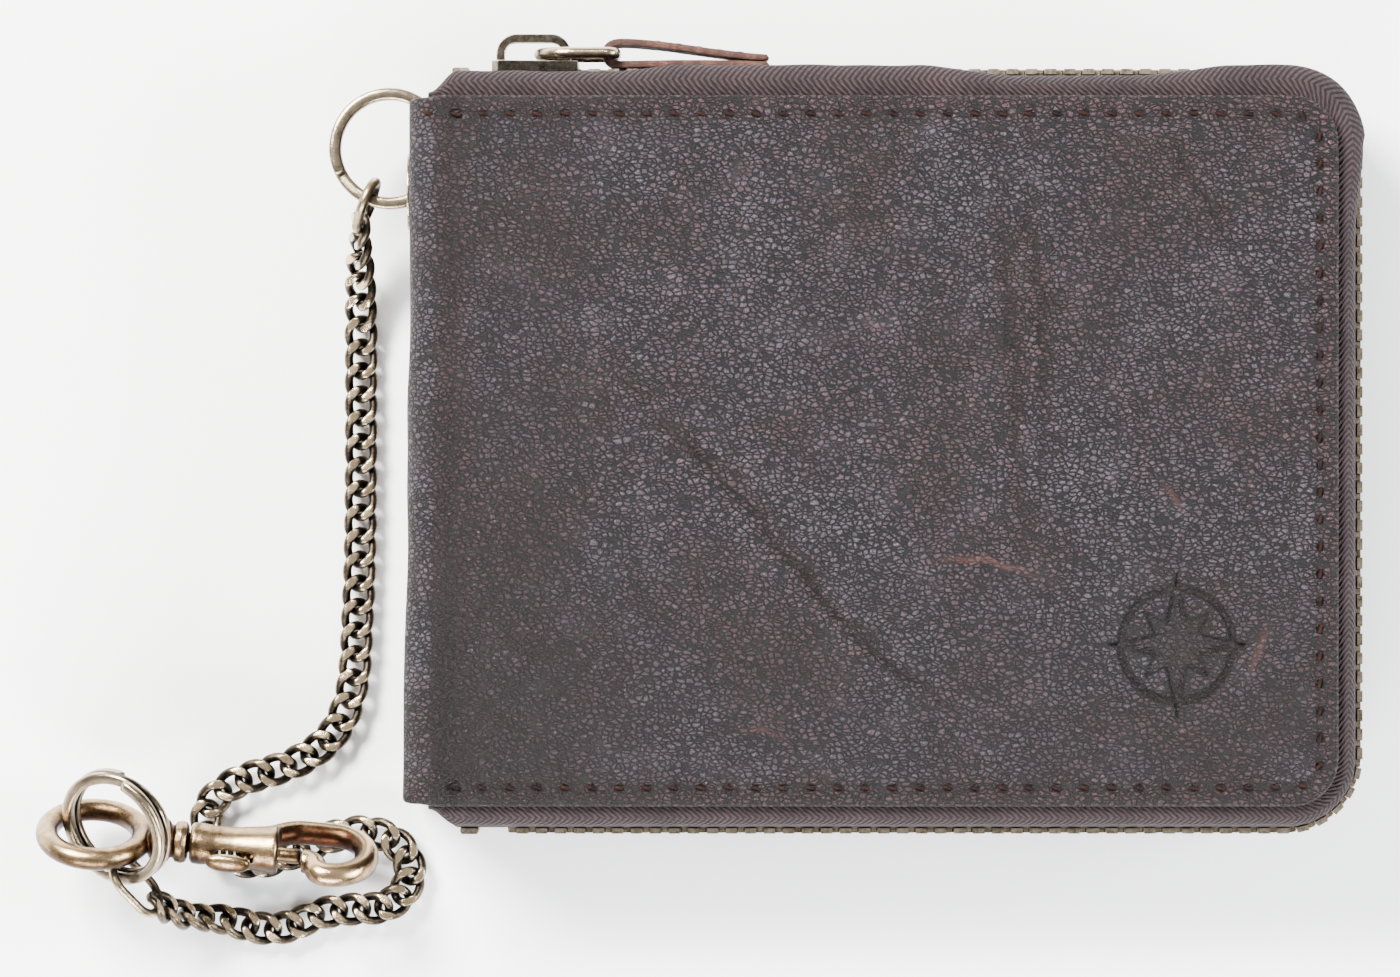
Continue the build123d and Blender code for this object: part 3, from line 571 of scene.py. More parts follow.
def metal_material(name, dark, mid, bright, rough=(0.24, 0.5), use_polish=True, grain=0.9, patina_and_painted_shade=None, scratch=0.00003, bias=0.0):
    m = Mat(name)
    v = m.coords(scale=(1000, 1000, 1000))
    n1 = m.noise(v, grain, 5, 0.65)
    n2 = m.noise(v, grain * 5.5, 4, 0.7)
    f = m.math("MULTIPLY_ADD", n1.outputs["Fac"], 0.75, m.math("MULTIPLY", n2.outputs["Fac"], 0.45))
    # the polish attribute brightens raised, rubbed metal and, on the clasp, bolt, slider and pull link, also carries
    # painted light: faces turned up and towards +Y lighter, undersides darker
    if use_polish:
        f = m.math("ADD", m.math("MULTIPLY", m.math("SUBTRACT", f, 0.6), 0.85), m.attr("polish"), clamp=True)
    else:
        f = m.math("ADD", m.math("MULTIPLY", m.math("SUBTRACT", f, 0.6), 1.6), 0.62 + bias, clamp=True)
    col = m.ramp(f, [(0.12, dark), (0.45, mid), (0.85, bright)])
    # the patina colour follows the inner mask: real patina in hollows, and on the clasp also painted shade on
    # undersides and unlit sides
    if patina_and_painted_shade:
        pn = m.noise(v, 0.8, 6, 0.75, 1.2)
        pf = m.math("MULTIPLY", m.ramp(pn.outputs["Fac"], [(0.40, 0.0), (0.56, 1.0)]), m.attr("inner"), clamp=True)
        col = m.mix(pf, col, patina_and_painted_shade)
    r = m.math("SUBTRACT", rough[1], m.math("MULTIPLY", f, rough[1] - rough[0]))
    r = m.math("MULTIPLY_ADD", n2.outputs["Fac"], 0.12, r)
    mp = m.n("Mapping")
    mp.inputs["Scale"].default_value = (1, 6, 1)
    m.put(mp.inputs["Vector"], v)
    brush = m.noise(mp.outputs[0], 3.0, 4, 0.7)
    return m.set(Base_Color=col, Metallic=1.0, Roughness=r, Normal=m.bump(brush.outputs["Fac"], scratch, 0.6))


CHAIN = metal_material("chain_antique", (0.008, 0.0065, 0.0055), (0.080, 0.061, 0.041), (0.62, 0.475, 0.295), rough=(0.15, 0.36))
CAST = metal_material("clasp_antique", (0.0065, 0.0036, 0.0022), (0.085, 0.051, 0.025), (0.52, 0.365, 0.200), rough=(0.12, 0.32),
                      patina_and_painted_shade=(0.030, 0.0095, 0.0045))
RINGM = metal_material("ring_antique", (0.009, 0.0075, 0.006), (0.105, 0.083, 0.057), (0.47, 0.375, 0.255), rough=(0.12, 0.28))
ZIPM = metal_material("zip_brass_aged", (0.016, 0.012, 0.009), (0.125, 0.098, 0.068), (0.50, 0.42, 0.31), rough=(0.2, 0.45), use_polish=False)
SLIDERM = metal_material("slider_nickel", (0.010, 0.008, 0.0065), (0.115, 0.096, 0.072), (0.56, 0.49, 0.38), rough=(0.13, 0.34))
STEEL = metal_material("spring_steel", (0.16, 0.16, 0.17), (0.42, 0.42, 0.43), (0.66, 0.66, 0.67), rough=(0.2, 0.35), use_polish=False)


def film_material():
    m = Mat("clear_film")
    n = m.noise(m.coords("rest"), 0.08, 3)
    r = m.ramp(n.outputs["Fac"], [(0.3, 0.06), (0.7, 0.16)])
    col = m.mix(n.outputs["Fac"], (0.92, 0.94, 0.95), (0.99, 1.0, 1.0))
    return m.set(Base_Color=col, Roughness=r, IOR=1.35, Transmission_Weight=1.0, Alpha=0.45, Normal=m.bump(n.outputs["Fac"], 0.00006, 0.4))


FILM = film_material()


def floor_material():
    m = Mat("floor_paper")
    n = m.noise(m.coords(scale=(1, 1, 1)), 40.0, 3)
    col = m.ramp(n.outputs["Fac"], [(0.3, (0.965, 0.965, 0.965)), (0.7, (0.98, 0.98, 0.98))])
    return m.set(Base_Color=col, Roughness=0.9, Specular_IOR_Level=0.1)


fl = bpy.data.meshes.new("floor")
fl.from_pydata([(-3, -3, -0.0004), (3, -3, -0.0004), (3, 3, -0.0004), (-3, 3, -0.0004)], [], [[0, 1, 2, 3]])
fl.materials.append(floor_material())
floor = bpy.data.objects.new("floor", fl)
scene.collection.objects.link(floor)

# ------------------------------------------------------------------ outer leather
HINGE_A, HINGE_B = (-0.062, 0.0, 0.0195), (-0.055, 0.0, 0.026)
ARC = R_SPINE * math.pi / 2
S_FRONT = X_EDGE - (X_SPINE + R_SPINE)      # flat front, from the free edge to the bend
S_SIDE = S_FRONT + ARC
S_BACK = S_SIDE + (THICK - 2 * R_SPINE)
S_END = S_BACK + ARC + (X_JOIN - X_SPINE - R_SPINE)


def wrap_place(S, Y, D):
    """S runs from the free edge over the front, round the spine and back under; D is the depth below the outer face."""
    x = np.empty(S.shape)
    z = np.empty(S.shape)
    nx = np.empty(S.shape)
    nz = np.empty(S.shape)
    a = S <= S_FRONT
    x[a], z[a], nx[a], nz[a] = X_EDGE - S[a], THICK, 0, 1
    b = (S > S_FRONT) & (S <= S_SIDE)
    w = math.pi / 2 + (S[b] - S_FRONT) / R_SPINE
    x[b], z[b] = X_SPINE + R_SPINE + R_SPINE * np.cos(w), THICK - R_SPINE + R_SPINE * np.sin(w)
    nx[b], nz[b] = np.cos(w), np.sin(w)
    c = (S > S_SIDE) & (S <= S_BACK)
    x[c], z[c], nx[c], nz[c] = X_SPINE, THICK - R_SPINE - (S[c] - S_SIDE), -1, 0
    d = (S > S_BACK) & (S <= S_BACK + ARC)
    w = math.pi + (S[d] - S_BACK) / R_SPINE
    x[d], z[d] = X_SPINE + R_SPINE + R_SPINE * np.cos(w), R_SPINE + R_SPINE * np.sin(w)
    nx[d], nz[d] = np.cos(w), np.sin(w)
    e = S > S_BACK + ARC
    x[e], z[e], nx[e], nz[e] = X_SPINE + R_SPINE + (S[e] - S_BACK - ARC), 0, 0, -1
    lean = -0.8 * smoothstep(20, -46, Y) * smoothstep(-50, -60, x)
    return np.stack([x - nx * D + lean, Y, z - nz * D], -1)


# creases in the front: points, half width, depth, strength of the painted crease shade and warm tone
CREASES = [
    ([(-37.1, 14.4), (-31, 6.0), (-24.5, -0.5), (-19.0, -5.5), (-11.5, -15.0), (-3.0, -25.0), (4.5, -30.5), (13.0, -36.5)], 0.55, 0.34, 1.0),
    ([(-27.5, 0.8), (-21.0, -1.6), (-15.0, -8.2), (-9.0, -15.8)], 0.7, 0.22, 0.6),
    ([(-38.0, 10.0), (-35.0, 2.0), (-33.5, -6.0)], 0.8, 0.12, 0.3),
    ([(14.6, 45.0), (15.2, 30.0), (16.8, 14.0), (17.2, -2.0), (18.6, -15.0)], 0.55, 0.26, 1.0),
    ([(18.6, 44.0), (18.9, 30.0), (20.4, 20.0), (21.0, 6.0), (20.6, -10.0)], 0.45, 0.27, 1.0),
    ([(28.6, 12.0), (29.8, 5.0), (30.6, 2.0)], 0.7, 0.16, 0.5),
    ([(36.8, 42.5), (39.5, 36.5), (43.6, 30.5), (46.0, 24.0)], 0.6, 0.22, 0.7),
    ([(-56.0, 30.0), (-50.0, 27.0), (-45.0, 27.5), (-40.0, 23.0)], 1.1, 0.14, 0.2),
    ([(-53.0, -20.0), (-46.0, -26.0), (-38.0, -27.0)], 1.0, 0.12, 0.2),
    ([(-30.0, -34.0), (-18.0, -31.0), (-9.0, -33.5)], 0.9, 0.10, 0.2),
    ([(24.0, -7.0), (31.0, -12.0), (36.0, -13.0)], 0.8, 0.12, 0.3),
    ([(45.0, 3.0), (47.5, -6.0), (46.0, -13.0)], 0.7, 0.12, 0.4),
]
SCRATCHES = [([(5.0, -14.4), (12.0, -14.0), (17.0, -15.2), (20.0, -17.0)], 0.28, 0.8), ([(-3.0, 17.0), (0.5, 15.2)], 0.22, 0.5),
             ([(36.0, -4.0), (39.0, -8.5)], 0.3, 0.5), ([(-20.0, -36.0), (-12.0, -37.2)], 0.25, 0.4),
             ([(47.0, -30.0), (50.0, -22.0)], 0.4, 0.5)]
STITCH_U, STITCH_P = 2.45, 3.55
STAR = (37.9, -25.2)


def star_mask(x, y):
    """A plain eight-pointed compass star in a ring: 1 where the leather is pressed down."""
    dx, dy = x - STAR[0], y - STAR[1]
    r = np.hypot(dx, dy)
    a = np.arctan2(dy, dx)
    out = np.zeros(x.shape)
    for tip, waist, turn, amount in ((9.4, 2.3, 0.0, 1.0), (6.2, 2.2, math.pi / 4, 0.7)):
        w = np.abs(((a - turn + math.pi / 4) % (math.pi / 2)) - math.pi / 4)
        edge = tip * waist * math.sin(math.pi / 4) / (waist * np.sin(math.pi / 4 - w) + tip * np.sin(w) + 1e-9)
        out = np.maximum(out, amount * smoothstep(0.35, -0.35, r - edge))
    ring = smoothstep(0.62, 0.15, np.abs(r - 7.3))
    return np.maximum(out, 0.8 * ring), r


def stitch_sites(x0, x1, y1, r, pitch, open_left=True):
    """Points, with direction, along three sides of a rounded border, from the top left round to the bottom left."""
    top, arc, side = (x1 - r) - x0, r * math.pi / 2, 2 * (y1 - r)
    total = top * 2 + arc * 2 + side
    n = int(round(total / pitch))
    out = []
    for i in range(n + 1):
        s = total * i / n
        if s < top:
            out.append((x0 + s, y1, 0.0, s))
        elif s < top + arc:
            a = math.pi / 2 - (s - top) / r
            out.append((x1 - r + r * math.cos(a), y1 - r + r * math.sin(a), a - math.pi / 2, s))
        elif s < top + arc + side:
            out.append((x1, y1 - r - (s - top - arc), -math.pi / 2, s))
        elif s < top + arc * 2 + side:
            a = -(s - top - arc - side) / r
            out.append((x1 - r + r * math.cos(a), -y1 + r + r * math.sin(a), a - math.pi / 2, s))
        else:
            out.append((x1 - r - (s - top - 2 * arc - side), -y1, math.pi, s))
    return out


SITES = stitch_sites(-59.5, X_EDGE - STITCH_U, Y_EDGE - STITCH_U, R_CORNER - STITCH_U, STITCH_P)


def seam_effect(x, y):
    """Dip of the leather at the seam, and how near a stitch hole is."""
    d = inside(x, y, -200, X_EDGE, -Y_EDGE, Y_EDGE, R_CORNER) - STITCH_U
    near = np.abs(d) < 1.4
    hole = np.zeros(x.shape)
    pts = np.array([(p[0], p[1]) for p in SITES])
    xi, yi = x[near], y[near]
    if len(xi):
        best = np.full(len(xi), 9.0)
        for px, py in pts:
            best = np.minimum(best, np.hypot(xi - px, yi - py))
        hole[near] = smoothstep(0.85, 0.15, best)
    chan = smoothstep(0.75, 0.05, np.abs(d))
    return 0.16 * chan + 0.30 * hole, hole, chan


def front_shape(x, y, d, spine_part):
    """Depth below the flat outer face, and the colour masks, over the front."""
    dep = np.zeros(x.shape)
    dark = np.zeros(x.shape)
    red = np.zeros(x.shape)
    rub_gloss_and_painted_glint = np.zeros(x.shape)
    warm = 0.75 * smoothstep(5.0, 0.0, d) + 0.12
    on = ~spine_part
    wav = 0.10 * np.sin(x * 0.11 + 0.6 * np.sin(y * 0.09)) * np.sin(y * 0.13 + 1.0) + 0.07 * np.sin(0.21 * x - 0.17 * y)
    wav += 0.05 * np.sin(0.37 * x + 0.33 * y + 1.7 * np.sin(0.1 * y))
    dep += (wav + 0.05) * smoothstep(1.5, 9.0, d)
    for pts, hw, deep, col in CREASES:
        dist, along = poly_dist(x + 0.35 * np.sin(y * 0.9) + 0.18 * np.sin(y * 2.3), y + 0.3 * np.sin(x * 0.8), pts)
        taper = np.sin(np.clip(along, 0.02, 0.98) * math.pi) ** 0.5
        hwv = hw * (0.55 + 0.6 * taper)
        deep = deep * 1.7
        dep += np.where(on, deep * taper * np.exp(-(dist / hwv) ** 2) - 0.35 * deep * taper * np.exp(-((dist - 2.2 * hwv) / (1.6 * hwv)) ** 2), 0)
        # painted shade along each crease's groove, and a warmer tone beside it
        dark += np.where(on, 0.95 * col * taper * np.exp(-(dist / (0.55 * hwv)) ** 2), 0)
        warm += np.where(on, 0.35 * col * taper * np.exp(-(dist / (2.6 * hwv)) ** 2), 0)
    for pts, hw, amt in SCRATCHES:
        dist, along = poly_dist(x, y + 0.25 * np.sin(x * 1.3), pts)
        red += np.where(on, amt * np.exp(-(dist / hw) ** 2) * np.sin(np.clip(along, 0.03, 0.97) * math.pi), 0)
    # painted shade: darker towards the spine side and towards the bottom; the small constant and slow wave are tone
    dark += 0.36 * smoothstep(-24, -52, x) * on + 0.34 * smoothstep(0, -36, y) * on + 0.04 + 0.06 * np.sin(0.055 * x + 1.2) * np.sin(0.07 * y) * on
    # places rubbed glossy, which also get painted glints
    for cx, cy, rx, ry, amt in ((-47.5, 33.0, 4.2, 3.2, 0.07), (-46.0, 30.0, 4.5, 3.6, 0.06),
                                (-31.5, 24.5, 4.0, 3.4, 0.05)):
        rub_gloss_and_painted_glint += np.where(on, amt * np.exp(-((x - cx) / rx) ** 2 - ((y - cy) / ry) ** 2), 0)
    sd, hole, chan = seam_effect(x, y)
    dep += np.where(on, sd, 0)
    # painted shade in the stitch holes and along the seam channel
    dark += np.where(on, 0.95 * hole + 0.18 * chan, 0)
    # the turned edge stands a little proud of the seam
    dep += np.where(on, -0.10 * np.exp(-((d - 1.2) / 0.8) ** 2), 0)
    # pressed line close to the edge, with painted shade along it
    dep += np.where(on, 0.10 * np.exp(-((d - 0.55) / 0.16) ** 2), 0)
    dark += np.where(on, 0.22 * np.exp(-((d - 0.5) / 0.22) ** 2), 0)
    star, r = star_mask(x, y)
    dep += np.where(on, 0.62 * star - 0.14 * np.exp(-((r - 10.4) / 1.6) ** 2), 0)
    # painted shade over the pressed star, stronger along its edges
    rim = np.abs(np.gradient(star, axis=0)) + np.abs(np.gradient(star, axis=1))
    dark += np.where(on, 0.34 * star + 0.8 * np.clip(rim * 1.4, 0, 1), 0)
    # the roll of leather beside the spine, warmer in tone, with painted shade along its spine side
    dep += 0.42 * np.exp(-((x + 55.6) / 1.5) ** 2) * on - 0.10 * np.exp(-((x + 52.5) / 2.0) ** 2) * on
    warm += 0.75 * np.exp(-((x + 56.6) / 2.4) ** 2) * on
    dark += 0.30 * np.exp(-((x + 56.4) / 1.5) ** 2) * on
    return dep, np.clip(dark, 0, 1), np.clip(red, 0, 1), np.clip(rub_gloss_and_painted_glint, 0, 1), np.clip(warm, 0, 1)


def outer_front():
    T0, T1 = 0.0, 1.6
    front = lines(-58.4, X_EDGE, 0.52, 0.8, fine=((28.0, 48.0),), fine_step=0.24, border=3.6, border_step=0.30)
    s_cols = list(X_EDGE - front[::-1])
    s = s_cols[-1] + 0.4
    while s < S_END - 0.3:
        s_cols.append(s)
        s += 0.42 if (S_SIDE + 9.5 - 4.3 < s < S_SIDE + 9.5 + 4.3) else 0.55
    s_cols.append(S_END)
    s_cols = np.array(s_cols)
    # the free corners need their columns where the arc turns
    arc = [R_CORNER * (1 - math.cos(k * math.pi / 24)) for k in range(1, 12)]
    s_cols = np.unique(np.round(np.concatenate([s_cols, arc]), 4))
    keep = [s_cols[0]]
    for q in s_cols[1:]:
        if q - keep[-1] > 0.05:
            keep.append(q)
    s_cols = np.array(keep)
    ys = lines(-Y_EDGE, Y_EDGE, 0.52, 0.8, fine=((-35.0, -15.5),), fine_step=0.24, border=3.6, border_step=0.30)
    t = (ys + Y_EDGE) / (2 * Y_EDGE)
    x_cols = X_EDGE - s_cols
    over = np.clip(x_cols - (X_EDGE - R_CORNER), 0, R_CORNER)
    cut = R_CORNER - np.sqrt(np.maximum(R_CORNER ** 2 - over ** 2, 0))
    ylo, yhi = -Y_EDGE + cut, Y_EDGE - cut
    # the spine ends a little short, with the scoop the ring passes over at its top end
    sp = smoothstep(S_FRONT - 1.5, S_FRONT + 2.0, s_cols) * 0.3
    zc = np.where((s_cols > S_SIDE) & (s_cols < S_BACK), np.abs(s_cols - (S_SIDE + S_BACK) / 2), 99)
    scoop = 2.7 * smoothstep(8.3, 6.6, zc)
    ylo, yhi = ylo + sp, yhi - sp - scoop
    S = np.repeat(s_cols[:, None], len(t), 1)
    Y = ylo[:, None] + (yhi - ylo)[:, None] * t[None, :]
    # hole for the eyelet, with the nearest grid points drawn onto its edge
    ds, dy = S - (S_SIDE + S_BACK) / 2, Y - 34.2
    r = np.hypot(ds, dy)
    near = (r < 4.0) & (r > 3.05)
    S = np.where(near, (S_SIDE + S_BACK) / 2 + ds / np.maximum(r, 1e-6) * 3.5, S)
    Y = np.where(near, 34.2 + dy / np.maximum(r, 1e-6) * 3.5, Y)
    X = X_EDGE - S
    spine_part = S > S_FRONT
    d = np.minimum(inside(X, Y, -300, X_EDGE, -Y_EDGE, Y_EDGE, R_CORNER), 99)
    d_edge = np.minimum(np.minimum(Y - ylo[:, None], yhi[:, None] - Y), d)
    d_edge = np.minimum(d_edge, S_END - S)
    half = edge_half(np.maximum(d_edge, 0), (T1 - T0) / 2, 0.75)
    dep, dark, red, rub_gloss_and_painted_glint, warm = front_shape(X, Y, d, spine_part)
    fade = np.clip(half / 0.8, 0, 1)
    top = 0.8 - half + dep * fade
    bottom = np.maximum(0.8 + half, top + 0.02)
    # spine: long soft folds
    fold = 0.16 * np.sin((S - S_FRONT) * 0.9 + 0.4 * np.sin(Y * 0.12)) + 0.08 * np.sin(Y * 0.23 + S)
    free = smoothstep(5.4, 7.5, np.hypot(S - (S_SIDE + S_BACK) / 2, Y - 34.2))
    top = np.where(spine_part, top + fold * 0.5 * fade * free, top)
    rest = np.stack([S, Y, 0 * S], -1)
    o = grid_sheet("outer_front", S, Y, top, bottom, wrap_place, LEATHER,
                   hole=lambda a, b: np.hypot(a - (S_SIDE + S_BACK) / 2, b - 34.2) < 3.4,
                   attrs={"rest": rest, "dark": dark, "red": red, "rub_gloss_and_painted_glint": rub_gloss_and_painted_glint, "warm": warm},
                   stands_for=("front_cover", "spine"), slot="leather")
    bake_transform(o)
    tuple(HINGE_A)
    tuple(HINGE_B)
    return o


outer_front()


def outer_back():
    xs = lines(X_JOIN, X_EDGE, 0.8, 0.8, border=3.4, border_step=0.35)
    arc = [X_EDGE - R_CORNER * (1 - math.cos(k * math.pi / 24)) for k in range(1, 12)]
    xs = np.unique(np.round(np.concatenate([xs, arc]), 4))
    xs = np.array([xs[0]] + [b for a, b in zip(xs, xs[1:]) if b - a > 0.05])
    ys = lines(-Y_EDGE, Y_EDGE, 0.8, 0.8, border=3.4, border_step=0.35)
    t = (ys + Y_EDGE) / (2 * Y_EDGE)
    over = np.clip(xs - (X_EDGE - R_CORNER), 0, R_CORNER)
    cut = R_CORNER - np.sqrt(np.maximum(R_CORNER ** 2 - over ** 2, 0))
    end = smoothstep(X_JOIN + 1.2, X_JOIN, xs) * 0.3
    ylo, yhi = -Y_EDGE + cut + end, Y_EDGE - cut - end
    X = np.repeat(xs[:, None], len(t), 1)
    Y = ylo[:, None] + (yhi - ylo)[:, None] * t[None, :]
    d = inside(X, Y, -300, X_EDGE, -Y_EDGE, Y_EDGE, R_CORNER)
    d_edge = np.minimum(np.minimum(np.minimum(Y - ylo[:, None], yhi[:, None] - Y), d), X - X_JOIN)
    half = edge_half(np.maximum(d_edge, 0), 0.8, 0.75)
    sd, hole, chan = seam_effect(X, Y)
    wav = 0.05 + 0.045 * np.sin(0.12 * X + 1.1) * np.sin(0.15 * Y)
    fade = np.clip(half / 0.8, 0, 1)
    dep = (sd + wav + 0.10 * np.exp(-((d - 0.55) / 0.16) ** 2)) * fade
    # painted shade in the stitch holes and along the seam channel
    dark = np.clip(0.95 * hole + 0.18 * chan, 0, 1)
    Z = np.zeros(X.shape)
    warm = np.clip(0.75 * smoothstep(5, 0, d) + 0.2, 0, 1)
    # bands rubbed glossy, which also get painted glints
    rub_gloss_and_painted_glint = 0.14 * np.exp(-((np.abs(Y) - 24) / 9) ** 2) * (0.5 + 0.5 * np.sin(0.2 * X))
    grid_sheet("outer_back", X, Y, 0.8 + half, 0.8 - half + dep, flat_place, LEATHER,
               attrs={"rest": np.stack([X + 300, Y, Z], -1), "dark": dark, "red": Z, "rub_gloss_and_painted_glint": rub_gloss_and_painted_glint, "warm": warm},
               body="back_half", stands_for=("back_cover",), slot="leather")


outer_back()


# ------------------------------------------------------------------ stitches
def one_stitch(soup, a, b, out, lift, r=0.24, dip=0.5, seg=7, sides=7, slot_s=0.0):
    """A thread from hole a to hole b that rises to lift above the surface between them."""
    a, b, out = (np.asarray(q, float) for q in (a, b, out))
    pts, rad = [], []
    for i in range(seg + 1):
        u = i / seg
        h = lift - (lift + dip) * abs(2 * u - 1) ** 3.2
        pts.append(a + (b - a) * u + out * h)
        rad.append(r * (0.72 + 0.28 * math.sin(math.pi * u)))
    v, f = tube(pts, rad, sides)
    u = np.repeat(np.linspace(0, 1, seg + 1), sides) * np.linalg.norm(b - a)
    w = np.tile(np.arange(sides) * TAU / sides, seg + 1)
    soup.add(v, f, rest=np.stack([u + slot_s, w, 0 * u], -1))


def border_stitches(name, z, up, body=None):
    soup = Soup()
    g = rng(7)
    for p, q in zip(SITES, SITES[1:]):
        a, b = np.array([p[0], p[1], z]), np.array([q[0], q[1], z])
        d = (b - a) / np.linalg.norm(b - a)
        side = np.array([-d[1], d[0], 0])
        j = g.uniform(-0.09, 0.09, 2)
        one_stitch(soup, a - d * 0.62 + side * (0.16 + j[0]), a + d * 0.72 - side * (0.18 - j[1]), (0, 0, up), 0.02 + 0.05 * g.uniform(), 0.24, 0.42)
    return soup.make(name, THREAD, body=body, slot="leather_raw")


st = border_stitches("stitches_front", THICK - 0.10, 1)
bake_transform(st)
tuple(HINGE_A)
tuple(HINGE_B)
border_stitches("stitches_back", 0.12, -1, "back_half")


# ------------------------------------------------------------------ zip tapes
def tape_run(n_arc=14, step=0.9):
    """Places along the zip's path at the leather edge: point on the straight part or the corner's centre, and direction."""
    out = []
    cx, cy = X_EDGE - R_CORNER, Y_EDGE - R_CORNER
    n = int((cx + 56.0) / step)
    for k in range(8, 0, -1):
        out.append((-56.0 - 0.44 * k, Y_EDGE, 0.0, 1.0, None, -0.5 * k))
    for i in range(n):
        out.append((-56.0 + (cx + 56.0) * i / n, Y_EDGE, 0.0, 1.0, None, (cx + 56.0) * i / n))
    s = cx + 56.0
    for i in range(n_arc):
        a = math.pi / 2 - math.pi / 2 * i / n_arc
        out.append((cx, cy, math.cos(a), math.sin(a), R_CORNER, s + (R_CORNER + 2.0) * math.pi / 2 * i / n_arc))
    s += (R_CORNER + 2.0) * math.pi / 2
    n = int(2 * cy / step)
    for i in range(n):
        out.append((X_EDGE, cy - 2 * cy * i / n, 1.0, 0.0, None, s + 2 * cy * i / n))
    s += 2 * cy
    for i in range(n_arc):
        a = -math.pi / 2 * i / n_arc
        out.append((cx, -cy, math.cos(a), math.sin(a), R_CORNER, s + (R_CORNER + 2.0) * math.pi / 2 * i / n_arc))
    s += (R_CORNER + 2.0) * math.pi / 2
    n = int((cx + 56.0) / step)
    for i in range(n + 1):
        out.append((cx - (cx + 56.0) * i / n, -Y_EDGE, 0.0, -1.0, None, s + (cx + 56.0) * i / n))
    for k in range(1, 9):
        out.append((-56.0 - 0.44 * k, -Y_EDGE, 0.0, -1.0, None, s + (cx + 56.0) + 0.5 * k))
    return out


RUN_TAPE = tape_run()


SLIDER_CLEAR = 6.7      # half the slider's width at its mouth, and room beside it


def zip_tape(name, sign, node, body):
    # section as (outward, height above the middle), middle line of the cloth
    prof = [(-6.0, 11.1), (-4.0, 11.1), (-2.0, 11.12), (-0.7, 11.15), (0.2, 11.15)]
    for k in range(9):
        a = math.pi / 2 * (1 - k / 8)
        prof.append((0.75 + 2.2 * math.cos(a), 8.95 + 2.2 * math.sin(a)))
    for k in range(1, 9):
        prof.append((2.95, 8.95 - (8.95 - 1.55) * k / 8))
    prof = np.array(prof)
    tang = np.gradient(prof, axis=0)
    tang /= np.linalg.norm(tang, axis=1)[:, None]
    nor = np.stack([-tang[:, 1], tang[:, 0]], -1)
    wlen = np.concatenate([[0], np.cumsum(np.hypot(*np.diff(prof, axis=0).T))])
    n, m = len(RUN_TAPE), len(prof)
    h = 0.27
    S = np.array([p[5] for p in RUN_TAPE])
    swell = np.zeros(n)
    for i, (px, py, dx, dy, r, s) in enumerate(RUN_TAPE):
        b = 0.10 + 0.05 * math.sin(s * 0.31) + 0.04 * math.sin(s * 0.83 + 1)
        if sign > 0:
            if dy > 0.99:
                b += 0.80 * float(smoothstep(-34, -27, px)) * (1 - float(smoothstep(4, 13, px)) * (1 - float(smoothstep(37, 46, px))))
            elif r and py > 0:
                b += 0.80 - 0.35 * (1 - dy)
            elif dx > 0.99:
                b += 0.30 * float(smoothstep(33, 40, py)) - 0.14
            elif r:
                b += 0.02
        elif dx > 0.5:
            b -= 0.14
        swell[i] = b
    # the wall leans in over the teeth where they show
    lean = np.zeros(n)
    for i, (px, py, dx, dy, r, s) in enumerate(RUN_TAPE):
        if dx > 0.99:
            lean[i] = 0.80 * (1 - float(smoothstep(27, 38, py)))
        elif r and py < 0:
            lean[i] = 0.72 + 0.08 * dx
        elif dy < -0.99:
            lean[i] = 0.72
        elif dy > 0.99:
            lean[i] = 0.60 * float(smoothstep(9, 18, px)) * (1 - float(smoothstep(33, 40, px)))
    # how far each end is turned in: 0 along the zip, 1 at the cut end
    turn = np.array([float(smoothstep(-55.9, -59.5, p[0])) for p in RUN_TAPE])
    outer, inner = [], []
    for i, (px, py, dx, dy, r, s) in enumerate(RUN_TAPE):
        for j in range(m):
            u, z = prof[j]
            bulge = max(0.0, swell[i]) * math.sin(math.pi * min(1, max(0, (11.1 - z) / (11.1 - SLIDER_CLEAR)))) ** 0.7 if j > 3 else 0.0
            for lst, off in ((outer, h), (inner, -h)):
                t = turn[i]
                low = max(0.0, (8.95 - z) / 7.4)
                frac = min(1.0, max(0.0, (z - 1.55) / 7.4))
                uu = (u + bulge) * ((1 - 0.92 * t) * (1 - lean[i] / 2.95 * frac) if u > 0 else 1.0) - (0.9 * t * low if u > 0 else 0.0) + nor[j, 0] * off
                zz = Z_MID + sign * (z + 1.9 * t * low ** 1.5 + nor[j, 1] * off)
                base = (r + uu) if r else uu
                lst.append((px + dx * base, py + dy * base, zz))
    V = outer + inner
    nm = n * m
    F = []
    for i in range(n - 1):
        for j in range(m - 1):
            a, b, c, d = i * m + j, (i + 1) * m + j, (i + 1) * m + j + 1, i * m + j + 1
            F.append([a, b, c, d])
            F.append([a + nm, d + nm, c + nm, b + nm])
        for j, flip in ((0, 0), (m - 1, 1)):
            q = [i * m + j, (i + 1) * m + j, (i + 1) * m + j + nm, i * m + j + nm]
            F.append(q if flip else q[::-1])
    for i, flip in ((0, 1), (n - 1, 0)):
        for j in range(m - 1):
            q = [i * m + j, i * m + j + 1, i * m + j + 1 + nm, i * m + j + nm]
            F.append(q[::-1] if flip else q)
    rest = np.array([(S[i], wlen[j], 0) for i in range(n) for j in range(m)] * 2)
    o = add_mesh(name, V, F, TAPE, attrs={"rest": rest})
    bm = bmesh.new()
    bm.from_mesh(o.data)
    bmesh.ops.recalc_face_normals(bm, faces=bm.faces)
    bm.to_mesh(o.data)
    bm.free()
    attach(o, body)
    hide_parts(node)
    return o


zip_tape("zip_tape_front", 1, "tape_front", "front_half")
zip_tape("zip_tape_back", -1, "tape_back", "back_half")


